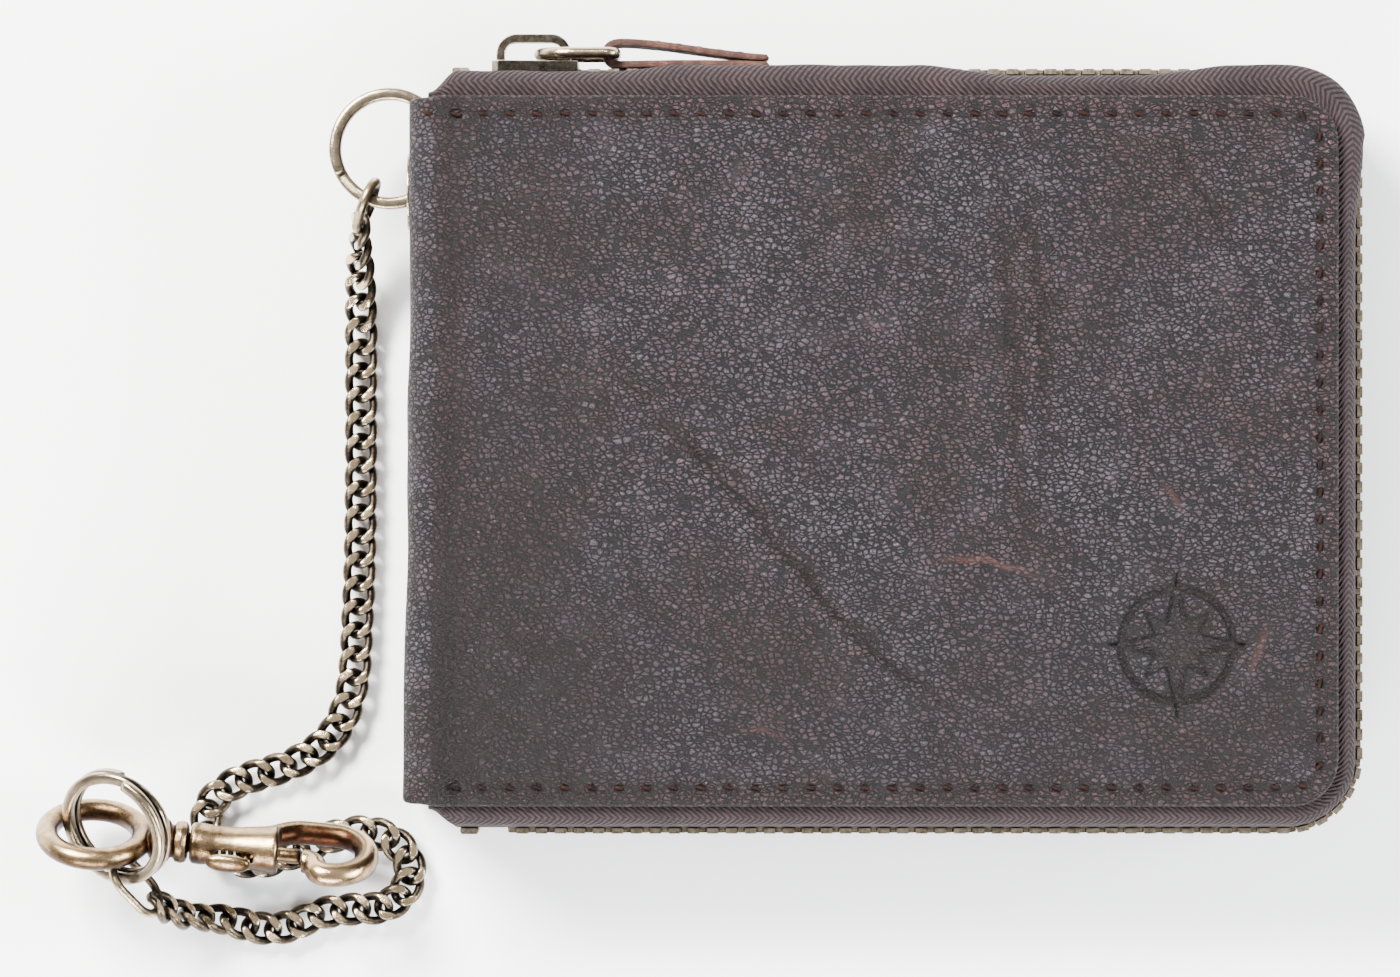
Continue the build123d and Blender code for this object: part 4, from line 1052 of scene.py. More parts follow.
def paint(node, mat, slot=None, bevel=0.0):
    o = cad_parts[node]
    o.data.materials.clear()
    o.data.materials.append(mat)
    if bevel:
        b = o.modifiers.new("bevel", "BEVEL")
        b.width = bevel * MM
        b.segments = 2
        b.limit_method = "ANGLE"
        b.angle_limit = math.radians(35)
    return o


for nm in ("teeth_front", "teeth_back"):
    paint(nm, ZIPM)
for nm in ("stop_front", "stop_back", "end_retainer"):
    paint(nm, ZIPM)


# ------------------------------------------------------------------ chain
RUN = [(-68.9, 30.5, 10.4), (-69.2, 26.0, 7.0), (-69.3, 20.5, 3.6), (-69.3, 14.5, FLOOR_Z), (-69.3, 5.0, FLOOR_Z),
       (-69.35, -5.0, FLOOR_Z), (-69.5, -15.0, FLOOR_Z), (-69.9, -24.0, FLOOR_Z), (-70.4, -31.0, FLOOR_Z)]
HEAP = [(-72.6, -37.2, FLOOR_Z), (-77.0, -41.0, FLOOR_Z), (-82.2, -42.9, FLOOR_Z), (-87.2, -44.6, FLOOR_Z),
        (-90.3, -48.6, FLOOR_Z), (-88.6, -53.2, FLOOR_Z), (-83.6, -54.9, FLOOR_Z), (-78.4, -53.6, FLOOR_Z),
        (-73.4, -51.4, FLOOR_Z), (-68.2, -50.6, FLOOR_Z), (-63.9, -52.6, FLOOR_Z), (-62.6, -57.0, FLOOR_Z),
        (-65.4, -60.6, FLOOR_Z), (-70.2, -61.0, FLOOR_Z), (-75.0, -61.6, FLOOR_Z), (-79.6, -63.7, FLOOR_Z),
        (-83.9, -63.4, FLOOR_Z), (-87.6, -62.3, 2.6), (-91.0, -62.0, 4.6), (-94.0, -61.2, 7.0),
        (-96.0, -59.8, 9.6), (-97.0, -58.2, 12.0)]


def smooth_route(points, n=24):
    P = [np.array(q, float) for q in points]
    P = [2 * P[0] - P[1]] + P + [2 * P[-1] - P[-2]]
    out = []
    for i in range(1, len(P) - 2):
        a, b, c, d = P[i - 1:i + 3]
        t = [0.0]
        for u, v in ((a, b), (b, c), (c, d)):
            t.append(t[-1] + np.linalg.norm(u - v) ** 0.5)
        mix = lambda u, v, t0, t1, s: (u * (t1 - s) + v * (s - t0)) / (t1 - t0)
        for j in range(n):
            s = t[1] + (t[2] - t[1]) * j / n
            a1, a2, a3 = mix(a, b, t[0], t[1], s), mix(b, c, t[1], t[2], s), mix(c, d, t[2], t[3], s)
            out.append(mix(mix(a1, a2, t[0], t[2], s), mix(a2, a3, t[1], t[3], s), t[1], t[2], s))
    out.append(P[-2])
    return out


def link_frames():
    curve = smooth_route(RUN + HEAP)
    at, i, chord = [curve[0]], 0, 3.15
    while True:
        j = i
        while j < len(curve) and np.linalg.norm(at[-1] - curve[j]) < chord:
            j += 1
        if j >= len(curve):
            break
        a, b = curve[j - 1], curve[j]
        lo, hi = 0.0, 1.0
        for _ in range(30):
            m = (lo + hi) / 2
            q = a + (b - a) * m
            if np.linalg.norm(at[-1] - q) < chord:
                lo = m
            else:
                hi = m
        at.append(q)
        i = j - 1
        if len(at) > 2:
            u, v = at[-1] - at[-2], at[-2] - at[-3]
            c = float(u @ v / np.linalg.norm(u) / np.linalg.norm(v))
            turn = math.degrees(math.acos(max(-1, min(1, c))))
            chord = 3.15 if turn < 14 else (3.05 if turn < 25 else 2.96)
    out = []
    for a, b in zip(at, at[1:]):
        x = (b - a) / np.linalg.norm(b - a)
        z = np.array([0, 0, 1.0]) - x * x[2]
        z /= np.linalg.norm(z)
        out.append(((a + b) / 2, x, np.cross(z, x), z))
    return out


LINKS = link_frames()
N_RUN = next(i for i, q in enumerate(LINKS) if q[0][1] < -30.5)


def curb_link(a=2.22, b=1.66, wire=0.60, twist=46.0, flat=0.93, seg=44, sides=14):
    """One twisted link: its two ends turn opposite ways, and its high sides are ground flat."""
    P, T = [], []
    for i in range(seg):
        t = TAU * i / seg
        th = math.radians(twist) * math.cos(t) ** 3 * 0.25 + math.radians(twist) * math.cos(t) * 0.75
        sy = math.copysign(abs(math.sin(t)) ** 0.86, math.sin(t))
        P.append((a * math.copysign(abs(math.cos(t)) ** 0.92, math.cos(t)), b * sy * math.cos(th), b * sy * math.sin(th)))
    v, f = tube(P, wire, sides, closed=True)
    P = np.array(P)
    axis_pts = np.repeat(P, sides, 0)
    out_dir = axis_pts * np.array([0.75, 1.0, 0.3])
    out_dir /= np.linalg.norm(out_dir, axis=1)[:, None] + 1e-9
    nrm = (v - axis_pts) / wire
    facing = (nrm * out_dir).sum(1)
    zt = np.clip((np.abs(v[:, 2]) - 0.62) / 0.32, 0, 1)
    polish = 0.13 + 0.17 * np.clip(facing, 0, 1) + 0.26 * zt * np.clip(np.abs(nrm[:, 2]), 0, 1)
    over = np.abs(v[:, 2]) > flat
    polish = np.where(over, 0.83, polish)
    # the middle of each side is ground as well
    side = (np.abs(v[:, 1]) > b + 0.30) & (np.abs(v[:, 2]) > 0.25)
    polish = np.where(side & ~over, np.maximum(polish, 0.42), polish)
    v[:, 2] = np.clip(v[:, 2], -flat, flat)
    return v, f, polish


def chain(name, first, last, body, nodes):
    v0, f0, pol = curb_link()
    soup = Soup()
    g = rng(31)
    jitter = g.uniform(-1, 1, (len(LINKS), 3))
    for i in range(first, last):
        o, x, y, z = LINKS[i]
        roll = 66 * math.exp(-((i) / 3.2) ** 2) + 6.5 * jitter[i, 0]
        if i >= N_RUN:
            roll += 9 * jitter[i, 1]
        if i > len(LINKS) - 8:
            roll += 50 * smoothstep(len(LINKS) - 8, len(LINKS) - 1, i)
        c, s = math.cos(math.radians(roll)), math.sin(math.radians(roll))
        y2, z2 = y * c + z * s, z * c - y * s
        R = np.stack([x, y2, z2], 1)
        soup.add(v0 @ R.T + o, f0, polish=np.clip(pol + 0.05 * jitter[i, 2], 0, 1))
    o = soup.make(name, CHAIN, body=body, stands_for=nodes, slot="chain_metal")
    o.data.set_sharp_from_angle(angle=math.radians(38))
    return o


chain("chain_curb_run", 0, N_RUN, "chain_upper", ("chain_run",))
chain("chain_curb_heap", N_RUN, len(LINKS), "chain_lower", ("chain_heap",))


def oval(name, length, width, wire, origin, x_dir, z_dir, node, body):
    r, h = width / 2 - wire, (length - width) / 2
    P = []
    for k in range(9):
        P.append((-h + 2 * h * k / 9, r, 0))
    for k in range(14):
        a = math.pi / 2 - math.pi * k / 14
        P.append((h + r * math.cos(a), r * math.sin(a), 0))
    for k in range(9):
        P.append((h - 2 * h * k / 9, -r, 0))
    for k in range(14):
        a = -math.pi / 2 - math.pi * k / 14
        P.append((-h + r * math.cos(a), r * math.sin(a), 0))
    v, f = tube(P, wire, 16, closed=True)
    c = np.repeat(np.array(P), 16, 0)
    n = (v - c) / wire
    o = c / (np.linalg.norm(c, axis=1)[:, None] + 1e-9)
    pol = 0.26 + 0.40 * np.clip((n * o).sum(1), 0, 1)
    x, z = np.array(x_dir, float), np.array(z_dir, float)
    x /= np.linalg.norm(x)
    z -= x * (x @ z)
    z /= np.linalg.norm(z)
    R = np.stack([x, np.cross(z, x), z], 1)
    return add_mesh(name, v @ R.T + np.array(origin), f, CHAIN, body=body, stands_for=(node,), slot="chain_metal", attrs={"polish": pol})


oval("joining_link_upper", 8.6, 6.2, 0.65, (-68.123, 32.479, 12.193), (0.217207, 0.676594, 0.703592), (-0.907291, 0.405819, -0.110155),
     "ring_link", "chain_upper")
oval("joining_link_lower", 10.2, 7.0, 0.6, (-98.608, -57.323, 11.382), (-0.6209, 0.6854, 0.3805), (-0.7662, -0.4281, -0.4792),
     "clasp_link", "chain_lower")


# ------------------------------------------------------------------ split rings: two turns of flattened wire
def coil_ring(name, origin, x_dir, z_dir, start, node, body):
    R0, B, H, PITCH = 7.2, 1.6, 1.3, 1.4
    sec = []
    for k in range(18):
        a = TAU * k / 18
        ca, sa = math.cos(a), math.sin(a)
        sec.append((B / 2 * math.copysign(abs(ca) ** 0.62, ca), H / 2 * math.copysign(abs(sa) ** 0.62, sa)))
    sec = np.array(sec)
    n = 190
    total = 2 * TAU - math.radians(8)
    V, pol = [], []
    for i in range(n):
        u = i / (n - 1)
        ang = math.radians(start) + total * u
        mid = (u - 0.5) * 2 * total / TAU / 2        # -1..1 over the two turns
        lift = -PITCH / 2 + PITCH * float(smoothstep(-0.085, 0.085, u - 0.5))
        end = min(1.0, min(u, 1 - u) * 60 + 0.35)
        for k, (br, h) in enumerate(sec):
            rr = R0 + br * (0.9 + 0.1 * end)
            V.append((rr * math.cos(ang), rr * math.sin(ang), lift + h * (0.75 + 0.25 * end)))
            outer = abs(lift + h) > PITCH * 0.62
            groove = abs(lift + h) < 0.32
            pol.append(0.10 if groove else (0.60 + 0.16 * max(0, br) / 0.8 if not outer else 0.66))
    V = np.array(V)
    m = len(sec)
    F = []
    for i in range(n - 1):
        for k in range(m):
            l = (k + 1) % m
            F.append([i * m + k, i * m + l, (i + 1) * m + l, (i + 1) * m + k])
    F.append([k for k in range(m)][::-1])
    F.append([(n - 1) * m + k for k in range(m)])
    x, z = np.array(x_dir, float), np.array(z_dir, float)
    z /= np.linalg.norm(z)
    x -= z * (x @ z)
    x /= np.linalg.norm(x)
    R = np.stack([x, np.cross(z, x), z], 1)
    o = add_mesh(name, V @ R.T + np.array(origin), F, RINGM, body=body, stands_for=(node,), slot="antique_metal", attrs={"polish": pol})
    bm = bmesh.new()
    bm.from_mesh(o.data)
    bmesh.ops.recalc_face_normals(bm, faces=bm.faces)
    bm.to_mesh(o.data)
    bm.free()
    return o


coil_ring("split_ring_wallet", (-65.0, 39.9, 13.0), (1, 0, 0), (0, 0, 1), 215, "wallet_ring", "wallet_ring")
CN = (-0.5, -0.375, 0.780625)
coil_ring("split_ring_clasp", (-100.9, -49.4, 14.7), (1, 0, CN[0] / -CN[2]), CN, 70, "clasp_ring", "clasp_ring")


# ------------------------------------------------------------------ cast parts, rounded from their solids
def cast(name, node, body, mat, voxel, passes, shade=None, hide=True):
    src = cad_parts[node]
    me = src.data.copy()
    bm = bmesh.new()
    bm.from_mesh(me)
    bmesh.ops.remove_doubles(bm, verts=bm.verts, dist=2e-6)
    bm.to_mesh(me)
    bm.free()
    o = bpy.data.objects.new(name, me)
    scene.collection.objects.link(o)
    r = o.modifiers.new("r", "REMESH")
    r.mode = "VOXEL"
    r.voxel_size = voxel * MM
    s = o.modifiers.new("s", "SMOOTH")
    s.factor = 0.5
    s.iterations = passes
    dg = bpy.context.evaluated_depsgraph_get()
    new = bpy.data.meshes.new_from_object(o.evaluated_get(dg))
    o.modifiers.clear()
    old = o.data
    o.data = new
    bpy.data.meshes.remove(old)
    new.name = name
    new.materials.clear()
    new.materials.append(mat)
    new.polygons.foreach_set("use_smooth", [True] * len(new.polygons))
    if shade:
        co = np.zeros(len(new.vertices) * 3)
        no = np.zeros(len(new.vertices) * 3)
        new.vertices.foreach_get("co", co)
        new.vertices.foreach_get("normal", no)
        for key, val in shade(co.reshape(-1, 3) / MM, no.reshape(-1, 3)).items():
            a = new.attributes.new(key, "FLOAT", "POINT")
            a.data.foreach_set("value", np.asarray(val, np.float32))
    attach(o, body)
    if hide:
        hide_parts(node)
    return o


CLASP_C = np.array([-104.1, -50.6, 11.0])
ca, sa = math.cos(math.radians(-5.0)), math.sin(math.radians(-5.0))
cr, sr = math.cos(math.radians(-62.0)), math.sin(math.radians(-62.0))
RZ = np.array([[ca, -sa, 0], [sa, ca, 0], [0, 0, 1]])
RX = np.array([[1, 0, 0], [0, cr, -sr], [0, sr, cr]])
CLASP_R = RZ @ RX


def clasp_local(co, no):
    return (co - CLASP_C) @ CLASP_R, no @ CLASP_R


def shade_snap(co, no):
    p, n = clasp_local(co, no)
    # inside of the hook's loop faces its own middle
    c = np.array([31.2, 0.3, 0.0])
    to_c = c - p
    to_c[:, 2] *= 0.2
    to_c /= np.linalg.norm(to_c, axis=1)[:, None] + 1e-9
    face = (to_c * n).sum(1)
    inner = smoothstep(0.05, 0.55, face) * smoothstep(22.5, 24.5, p[:, 0])
    band = np.exp(-((p[:, 0] - 13.6) / 0.5) ** 2) + np.exp(-((p[:, 0] - 16.2) / 1.2) ** 2) * 0.4
    # painted light: faces turned up and towards +Y are painted brighter and the underside darker; the inner mask adds
    # this painted shade to the real patina inside the loop
    under = smoothstep(0.1, -0.8, no[:, 2])
    lit = smoothstep(-0.55, 0.85, 0.62 * no[:, 2] + 0.60 * no[:, 1])
    polish = 0.10 + 0.62 * lit - 0.42 * inner - 0.30 * band - 0.10 * under
    polish += 0.20 * smoothstep(28.0, 31.0, p[:, 0]) * (1 - inner)
    return {"polish": np.clip(polish, 0.06, 1), "inner": np.clip(inner + 0.5 * under + 0.45 * (1 - lit), 0, 1)}


def shade_eye(co, no):
    p, n = clasp_local(co, no)
    r = np.hypot(p[:, 0], p[:, 1])
    inner = smoothstep(6.3, 5.2, r) * (p[:, 0] < 7)
    groove = np.exp(-((p[:, 0] - 10.3) / 0.42) ** 2) + np.exp(-((p[:, 0] - 7.3) / 0.5) ** 2)
    # painted light: faces turned up and towards +Y brighter, the underside darker, also fed to the patina mask as
    # painted shade; the grooves are real dark joints
    under = smoothstep(0.2, -0.7, no[:, 2])
    lit = smoothstep(-0.6, 0.85, 0.62 * no[:, 2] + 0.60 * no[:, 1])
    polish = 0.08 + 0.60 * lit - 0.22 * inner - 0.45 * groove - 0.10 * under
    return {"polish": np.clip(polish, 0.06, 1), "inner": np.clip(0.5 * inner + groove + 0.3 * under + 0.4 * (1 - lit), 0, 1)}


def shade_bolt(co, no):
    p, n = clasp_local(co, no)
    edge = smoothstep(0.75, 0.45, np.abs(n).max(1))
    # painted shade: the underside is darker; edges brighter as rubbed metal
    polish = 0.34 + 0.45 * edge - 0.2 * smoothstep(-0.2, -0.9, no[:, 2])
    return {"polish": polish, "inner": 0.35 * (1 - edge)}


cast("snap_cast", "snap_body", "snap_hook", CAST, 0.14, 16, shade_snap)
cast("swivel_eye_cast", "swivel_eye", "swivel_eye", CAST, 0.13, 4, shade_eye)


def bolt():
    soup = Soup()
    y0 = -1.1
    rod = [(19.6, 0.80), (19.8, 1.0), (20.1, 1.05), (22.0, 1.05), (24.0, 1.05), (25.5, 1.05), (26.8, 1.05), (27.15, 0.98), (27.4, 0.78)]
    v, f = tube([(x, y0, 0) for x, _ in rod], [r for _, r in rod], 28)
    parts = [(v, f)]
    v, f = tube([(20.35, -1.7, 0), (20.35, -2.6, 0), (20.35, -3.4, 0), (20.35, -4.0, 0)], [0.62, 0.52, 0.52, 0.66], 16)
    parts.append((v, f))
    # thumb piece: a blunt egg, broad across and lower towards the eye
    nu, nv = 30, 16
    V, F = [], []
    for i in range(nv + 1):
        a = -math.pi / 2 + math.pi * i / nv
        for k in range(nu):
            b = TAU * k / nu
            cx, cz = math.cos(a) * math.cos(b), math.cos(a) * math.sin(b)
            cx = math.copysign(abs(cx) ** 0.85, cx)
            V.append((18.05 + 2.98 * cx, -4.42 + 0.84 * math.sin(a) - 0.10 * cx, 1.26 * math.copysign(abs(cz) ** 0.85, cz)))
    for i in range(nv):
        for k in range(nu):
            l = (k + 1) % nu
            F.append([i * nu + k, (i + 1) * nu + k, (i + 1) * nu + l, i * nu + l])
    parts.append((np.array(V), F))
    for v, f in parts:
        w = v @ CLASP_R.T + CLASP_C
        mid = v.mean(0)
        out = (v - mid) @ CLASP_R.T
        out /= np.linalg.norm(out, axis=1)[:, None] + 1e-9
        # painted light: sides facing up and towards +Y brighter, the rest darker, also fed to the patina mask as
        # painted shade
        lit = smoothstep(-0.5, 0.9, 0.62 * out[:, 2] + 0.60 * out[:, 1])
        soup.add(w, f, polish=0.16 + 0.62 * lit, inner=0.45 * (1 - lit))
    o = soup.make("bolt_cast", CAST, body="trigger", stands_for=("trigger_bolt",), slot="antique_metal")
    bm = bmesh.new()
    bm.from_mesh(o.data)
    bmesh.ops.remove_doubles(bm, verts=bm.verts, dist=1e-7)
    bmesh.ops.dissolve_degenerate(bm, edges=bm.edges, dist=1e-8)
    bmesh.ops.recalc_face_normals(bm, faces=bm.faces)
    bm.to_mesh(o.data)
    bm.free()
    return o


def spring_coil():
    """The spring in the barrel. The real one shortens as the bolt is drawn back; this coil keeps its length."""
    P = []
    for i in range(121):
        u = i / 120
        a = TAU * 3.9 * u
        P.append((15.25 + 3.9 * u, -1.1 + 0.72 * math.cos(a), 0.72 * math.sin(a)))
    v, f = tube(P, 0.17, 10)
    soup = Soup()
    soup.add(v @ CLASP_R.T + CLASP_C, f)
    o = soup.make("spring_coil", STEEL, body="snap_hook", stands_for=("trigger_spring",), slot="spring_steel")
    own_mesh(o)
    return o


bolt()
spring_coil()


def shade_slider(co, no):
    # edges brighter as rubbed metal; faces towards +Y painted lighter and faces towards -Y painted darker, as light and
    # shade
    edge = smoothstep(0.97, 0.80, np.abs(no).max(1))
    up = smoothstep(0.1, 0.9, no[:, 1])
    return {"polish": np.clip(0.24 + 0.55 * edge + 0.22 * up - 0.12 * smoothstep(0, -0.8, no[:, 1]), 0.05, 1)}


cast("slider_cast", "slider_body", "slider", SLIDERM, 0.10, 4, shade_slider)
# painted light: the pull link is lighter on faces turned towards +Y
cast("pull_link_cast", "pull_link", "pull_link", RINGM, 0.09, 3, lambda co, no: {"polish": 0.66 + 0.2 * no[:, 1] + 0 * co[:, 0]})


def shade_eyelet(co, no):
    r = np.hypot(co[:, 1] - 34.2, co[:, 2] - Z_MID)
    return {"polish": np.clip(0.35 + 0.35 * smoothstep(3.2, 4.2, r), 0, 1)}


cast("eyelet_pressed", "eyelet", "back_half", RINGM, 0.11, 4, shade_eyelet)
cast("eyelet_washer_pressed", "eyelet_washer", "back_half", RINGM, 0.11, 3, shade_eyelet)


# ------------------------------------------------------------------ pull tab: a strip folded round the link
def pull_tab():
    top = [(-15.0, 51.75), (-18.0, 51.95), (-21.5, 52.35), (-25.0, 52.85), (-28.5, 53.35), (-31.8, 53.68), (-34.0, 53.82)]
    bot = [(-34.0, 50.86), (-31.0, 50.92), (-27.5, 50.98), (-24.0, 50.98), (-20.5, 50.94), (-17.5, 50.90), (-15.0, 50.86)]
    fold = [(-35.25 + 1.48 * math.cos(a), 52.32 + 1.48 * math.sin(a)) for a in np.linspace(math.radians(97), math.radians(263), 12)]
    P = np.array(top + fold + bot)
    seg = np.concatenate([[0], np.cumsum(np.hypot(*np.diff(P, axis=0).T))])
    s = np.linspace(0, seg[-1], 120)
    x, y = np.interp(s, seg, P[:, 0]), np.interp(s, seg, P[:, 1])
    k = np.array([1, 2, 3, 2, 1]) / 9
    for _ in range(3):
        x[2:-2], y[2:-2] = np.convolve(x, k, "valid"), np.convolve(y, k, "valid")
    tx, ty = np.gradient(x), np.gradient(y)
    ln = np.hypot(tx, ty)
    nx, ny = -ty / ln, tx / ln
    W = 3.15
    ws = lines(-W, W, 0.4, 0.3)
    S = np.repeat(s[:, None], len(ws), 1)
    Wd = np.repeat(ws[None, :], len(s), 0)
    g = rng(3)
    rag = np.convolve(g.normal(0, 1, len(s) + 8), np.ones(5) / 5, "same")[4:-4]
    Wd = Wd * (1 + 0.012 * rag[:, None])
    d = np.minimum(np.minimum(Wd + W * 1.02, W * 1.02 - Wd), np.minimum(S, s[-1] - S))
    d = np.clip(np.minimum(W - np.abs(ws)[None, :] + 0 * S, np.minimum(S, s[-1] - S)), 0, 99)
    half = edge_half(d, 0.46, 0.22) * (1 - 0.12 * smoothstep(6, 0, np.minimum(S, s[-1] - S)))

    def place(S_, Y_, D):
        xx = np.repeat(x[:, None], len(ws), 1) + np.repeat(nx[:, None], len(ws), 1) * D
        yy = np.repeat(y[:, None], len(ws), 1) + np.repeat(ny[:, None], len(ws), 1) * D
        return np.stack([xx, yy, Z_MID + Y_], -1)

    bump = 0.05 * np.sin(S * 1.3) * np.sin(Wd * 1.1)
    face = smoothstep(0.12, 0.5, d)
    grid_sheet("pull_tab_strip", S, Wd, half + bump, -half + bump, place, RAW, attrs={"rest": np.stack([S, Wd, half], -1), "face": face},
               body="pull_tab", stands_for=("pull_tab",), slot="leather_raw")
    # a line of stitches that holds the two plies
    soup = Soup()
    for zz in (-2.2, 2.2):
        for i in range(5):
            xx = -30.5 + i * 2.7
            yy = float(np.interp(xx + 0.9, np.array(top)[::-1, 0], np.array(top)[::-1, 1])) + 0.40
            one_stitch(soup, (xx, yy, Z_MID + zz), (xx + 1.7, yy - 0.12, Z_MID + zz), (0, 1, 0), 0.05, 0.2, 0.4)
    soup.make("stitches_pull", THREAD, body="pull_tab", slot="leather_raw")


pull_tab()


# ------------------------------------------------------------------ panels inside
def panel(name, node, body, x0, x1, y0, y1, z0, z1, r, mat, slot, side=1, window=None, step=2.0, stitch=(), wav=0.05, seed=1,
          bow=0.0, notch=0.0, seam=1.3):
    """A sheet with rolled edges and a soft surface; side is +1 if its seen face looks up, -1 if down."""
    t = z1 - z0
    rr = min(0.35, t / 2)
    ex = []
    ey = []
    if window:
        wx0, wx1, wy0, wy1 = window
        ex, ey = [wx0, wx1, wx0 - 0.5, wx1 + 0.5], [wy0, wy1, wy0 - 0.5, wy1 + 0.5]
    arc = [r * (1 - math.cos(k * math.pi / 12)) for k in range(1, 6)] if r > 0.4 else []
    xs = lines(x0, x1, step, rr, extra=ex + [x0 + a for a in arc] + [x1 - a for a in arc], border=3.0, border_step=0.45)
    ys = lines(y0, y1, step, rr, extra=ey, border=3.0, border_step=0.45)
    t_ = (ys - y0) / (y1 - y0)
    ylo, yhi = rounded_limits(xs, x0, x1, y0, y1, r)
    if notch:
        # a thumb notch in the middle of the top edge
        yhi = yhi - notch * np.exp(-((xs - (x0 + x1) / 2) / (notch * 2.1)) ** 4)
    X = np.repeat(xs[:, None], len(t_), 1)
    if window:
        Y = np.repeat(ys[None, :], len(xs), 0)
        Y = np.clip(Y, ylo[:, None], yhi[:, None])
    else:
        Y = ylo[:, None] + (yhi - ylo)[:, None] * t_[None, :]
    d = np.minimum(inside(X, Y, x0, x1, y0, y1, max(r, 0.01)), yhi[:, None] - Y)
    if window:
        dw = np.maximum(np.maximum(wx0 - X, X - wx1), np.maximum(wy0 - Y, Y - wy1))
        d = np.minimum(d, np.maximum(dw, 0) + 0.12)
    half = edge_half(np.maximum(d, 0), t / 2, rr)
    zc = (z0 + z1) / 2
    w = wav * np.sin(0.13 * X + seed) * np.sin(0.17 * Y + 2 * seed) * smoothstep(0, 6, d)
    # a pressed line beside the edge, and the dips of the seam
    press = -0.07 * np.exp(-((d - 0.55) / 0.2) ** 2)
    sites = []
    for which in stitch:
        if which in "LR":
            xx = x0 + seam if which == "L" else x1 - seam
            n = int((y1 - y0 - 2 * seam) / 3.0)
            sites += [((xx, y0 + seam + (y1 - y0 - 2 * seam) * i / n), (xx, y0 + seam + (y1 - y0 - 2 * seam) * (i + 1) / n)) for i in range(n)]
        else:
            yy = y0 + seam if which == "B" else y1 - seam
            n = int((x1 - x0 - 2 * seam) / 3.0)
            sites += [((x0 + seam + (x1 - x0 - 2 * seam) * i / n, yy), (x0 + seam + (x1 - x0 - 2 * seam) * (i + 1) / n, yy)) for i in range(n)]
    dip = np.zeros(X.shape)
    for (ax, ay), (bx, by) in sites:
        near = (np.abs(X - ax) < 1.2) & (np.abs(Y - ay) < 1.2)
        dip[near] = np.maximum(dip[near], np.exp(-((X[near] - ax) ** 2 + (Y[near] - ay) ** 2) / 0.3))
    fade = np.clip(half / (t / 2), 0, 1)
    add_ = (w + press * 0.6 - 0.10 * dip) * fade
    back = w * fade
    if side > 0:
        top, bot = zc + half + np.minimum(add_, 0.06), zc - half + np.clip(back, -0.02, 0.02)
    else:
        top, bot = zc + half + np.clip(back, -0.02, 0.02), zc - half - np.minimum(add_, 0.06)
    hole = None
    if window:
        hole = lambda a, b: (a > wx0) & (a < wx1) & (b > wy0) & (b < wy1)
    o = grid_sheet(name, X, Y, top, bot, flat_place, mat, hole=hole, attrs={"rest": np.stack([X + 200 + 37 * seed, Y, 0 * X + z0], -1)},
                   body=body, stands_for=(node,), slot=slot)
    if sites:
        soup = Soup()
        zs = (z1 + 0.0) if side > 0 else z0
        for (ax, ay), (bx, by) in sites:
            a, b = np.array([ax, ay, zs]), np.array([bx, by, zs])
            u = (b - a) / np.linalg.norm(b - a)
            one_stitch(soup, a + u * 0.35, b - u * 0.35, (0, 0, side), 0.09, 0.19, 0.25, seg=5, sides=6)
        st = soup.make("stitches_" + name, THREAD, slot="leather_raw")
        st.parent = o
    return o


panel("note_divider", "note_wall", "back_half", -53.5, 52.5, -44.0, 38.0, 6.6, 7.2, 2.0, LINING, "lining", 1, seed=1, stitch="T")
panel("card_backing_leather", "card_backing", "back_half", -51.0, 47.0, -43.0, 37.0, 7.2, 7.7, 2.0, POCKET, "pocket_leather", 1, seed=2, stitch="TLR", wav=0.03)
panel("card_slot_upper", "card_pocket_upper", "back_half", -49.0, 45.0, -42.0, 30.0, 7.7, 8.2, 1.5, POCKET, "pocket_leather", 1, seed=3, stitch="T", wav=0.02, notch=2.6)
panel("card_slot_middle", "card_pocket_middle", "back_half", -49.0, 45.0, -42.0, 17.0, 8.2, 8.7, 1.5, POCKET, "pocket_leather", 1, seed=4, stitch="T", wav=0.02, notch=2.6)
panel("card_slot_lower", "card_pocket_lower", "back_half", -49.0, 45.0, -42.0, 4.0, 8.7, 9.2, 1.5, POCKET, "pocket_leather", 1, seed=5, stitch="TLR", wav=0.0, notch=2.6)
panel("id_window_film", "id_film", "back_half", -38.0, 34.0, -40.0, -10.5, 9.23, 9.37, 1.0, FILM, "clear_film", 1, seed=6, wav=0.0)
panel("id_window_frame", "id_pocket", "back_half", -49.0, 45.0, -42.0, -9.0, 9.4, 9.9, 1.5, POCKET, "pocket_leather", 1, seed=7,
      window=(-34.0, 30.0, -37.5, -13.0), stitch="TLRB", wav=0.02)
panel("front_inner_panel", "front_panel", "front_half", -54.0, 52.5, -44.0, 44.0, 23.2, 23.8, 2.0, POCKET, "pocket_leather", -1, seed=8, stitch="TLRB", wav=0.06)
panel("coin_pocket_face", "coin_face", "front_half", -46.0, 46.0, -42.0, 12.0, 18.0, 18.6, 1.5, POCKET, "pocket_leather", -1, seed=9, stitch="LRB", wav=0.10)
panel("coin_pocket_binding", "coin_binding", "front_half", -46.0, 46.0, 9.0, 12.0, 17.6, 18.0, 0.3, POCKET, "pocket_leather", -1, seed=10, stitch="T", wav=0.02, seam=1.1, step=1.2)


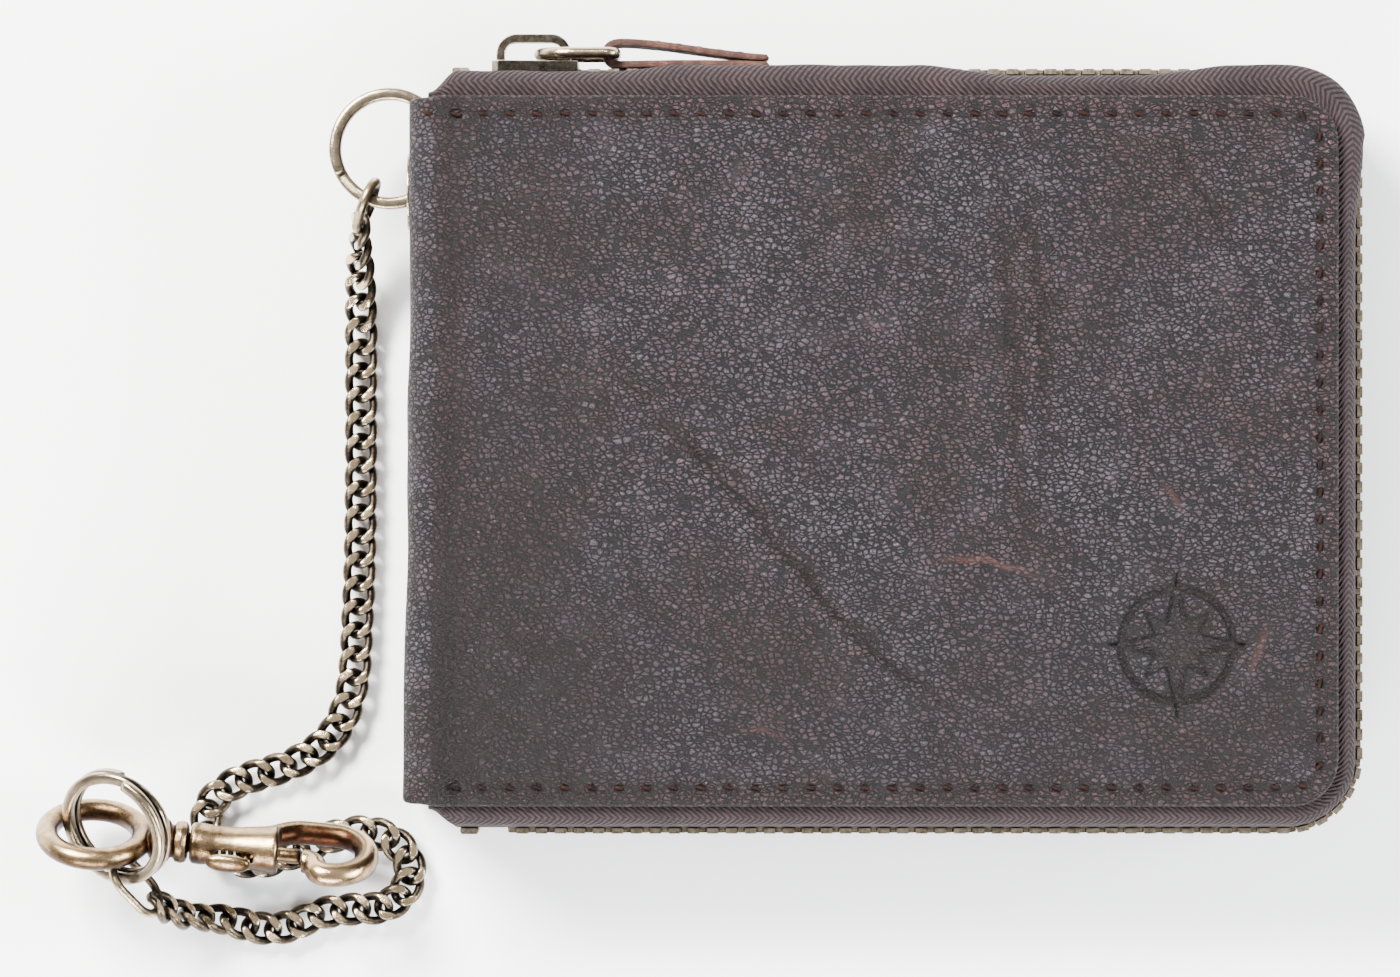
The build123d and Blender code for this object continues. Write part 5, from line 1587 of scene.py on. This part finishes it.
def lining_sheet(name, node, body, z0, z1):
    x1, ye, r = X_EDGE - 6.2, Y_EDGE - 6.2, 0.6
    xs = lines(X_JOIN, x1, 1.6, 0.2, border=1.5, border_step=0.5)
    ys = lines(-ye, ye, 1.6, 0.2, border=1.5, border_step=0.5)
    X, Y = np.meshgrid(xs, ys, indexing="ij")
    d = np.minimum(np.minimum(X - X_JOIN, x1 - X), np.minimum(Y + ye, ye - Y))
    half = edge_half(d, 0.28, 0.2)
    w = 0.02 * np.sin(0.3 * X) * np.sin(0.26 * Y)
    zc = (z0 + z1) / 2
    grid_sheet(name, X, Y, zc + half + w * (half > 0.2), zc - half + w * (half > 0.2), flat_place, LINING,
               attrs={"rest": np.stack([X + 300, Y, 0 * X], -1)}, body=body, stands_for=(node,), slot="lining")


lining_sheet("lining_front", "front_lining", "front_half", 23.8, 24.4)
lining_sheet("lining_back", "back_lining", "back_half", 1.6, 2.2)


def spine_lining():
    """The cloth inside the spine, wrapped round it like the cover."""
    s0, s1 = X_EDGE - X_JOIN + 0.0, S_END
    cols = lines(s0, s1, 0.55, 0.2)
    ys = lines(-44.8, 45.0, 1.4, 0.2)
    S, Y = np.meshgrid(cols, ys, indexing="ij")
    zc = np.abs(S - (S_SIDE + S_BACK) / 2)
    top_cut = 4.1 * smoothstep(8.6, 6.8, zc)
    f = (Y + 44.8) / 89.8
    Y = -44.8 + f * (89.8 - top_cut)
    ds, dy = S - (S_SIDE + S_BACK) / 2, Y - 34.2
    r = np.hypot(ds, dy)
    near = (r < 4.2) & (r > 2.9)
    S = np.where(near, (S_SIDE + S_BACK) / 2 + ds / np.maximum(r, 1e-6) * 3.55, S)
    Y = np.where(near, 34.2 + dy / np.maximum(r, 1e-6) * 3.55, Y)
    d = np.minimum(np.minimum(S - s0, s1 - S), np.minimum(Y + 44.8, 45.0 - top_cut - Y))
    half = edge_half(np.maximum(d, 0), 0.26, 0.2)
    o = grid_sheet("lining_spine", S, Y, 1.92 - half, 1.92 + half, wrap_place, LINING,
                   hole=lambda a, b: np.hypot(a - (S_SIDE + S_BACK) / 2, b - 34.2) < 3.4,
                   attrs={"rest": np.stack([S, Y, 0 * S], -1)}, stands_for=("spine_lining",), slot="lining")
    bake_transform(o)
    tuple(HINGE_A)
    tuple(HINGE_B)


spine_lining()


def coin_walls():
    """Pleated walls of the coin pocket."""
    path = []
    for q in ((-45.5, 12.0, -45.5, -40.5, 60), (-45.5, -41.5, 45.5, -41.5, 100), (45.5, -40.5, 45.5, 12.0, 60)):
        x0, y0, x1, y1, n = q
        for i in range(n):
            path.append((x0 + (x1 - x0) * i / (n - 1), y0 + (y1 - y0) * i / (n - 1)))
    P = np.array(path)
    T = np.gradient(P, axis=0)
    T /= np.linalg.norm(T, axis=1)[:, None]
    N = np.stack([T[:, 1], -T[:, 0]], -1)
    s = np.concatenate([[0], np.cumsum(np.hypot(*np.diff(P, axis=0).T))])
    zs = np.linspace(18.65, 23.15, 15)
    S, Zg = np.meshgrid(s, zs, indexing="ij")
    fold = 0.24 * np.cos((Zg - 18.65) / 4.5 * TAU * 1.5)

    def place(S_, Z_, D):
        i = np.arange(len(s))
        px = np.repeat(P[:, 0:1], len(zs), 1) - np.repeat(N[:, 0:1], len(zs), 1) * D
        py = np.repeat(P[:, 1:2], len(zs), 1) - np.repeat(N[:, 1:2], len(zs), 1) * D
        return np.stack([px, py, Z_], -1)

    grid_sheet("coin_pocket_walls", S, Zg, fold + 0.22, fold - 0.22, place, POCKET,
               attrs={"rest": np.stack([S, Zg, 0 * S], -1)}, body="front_half", stands_for=("coin_gusset",), slot="pocket_leather")


coin_walls()
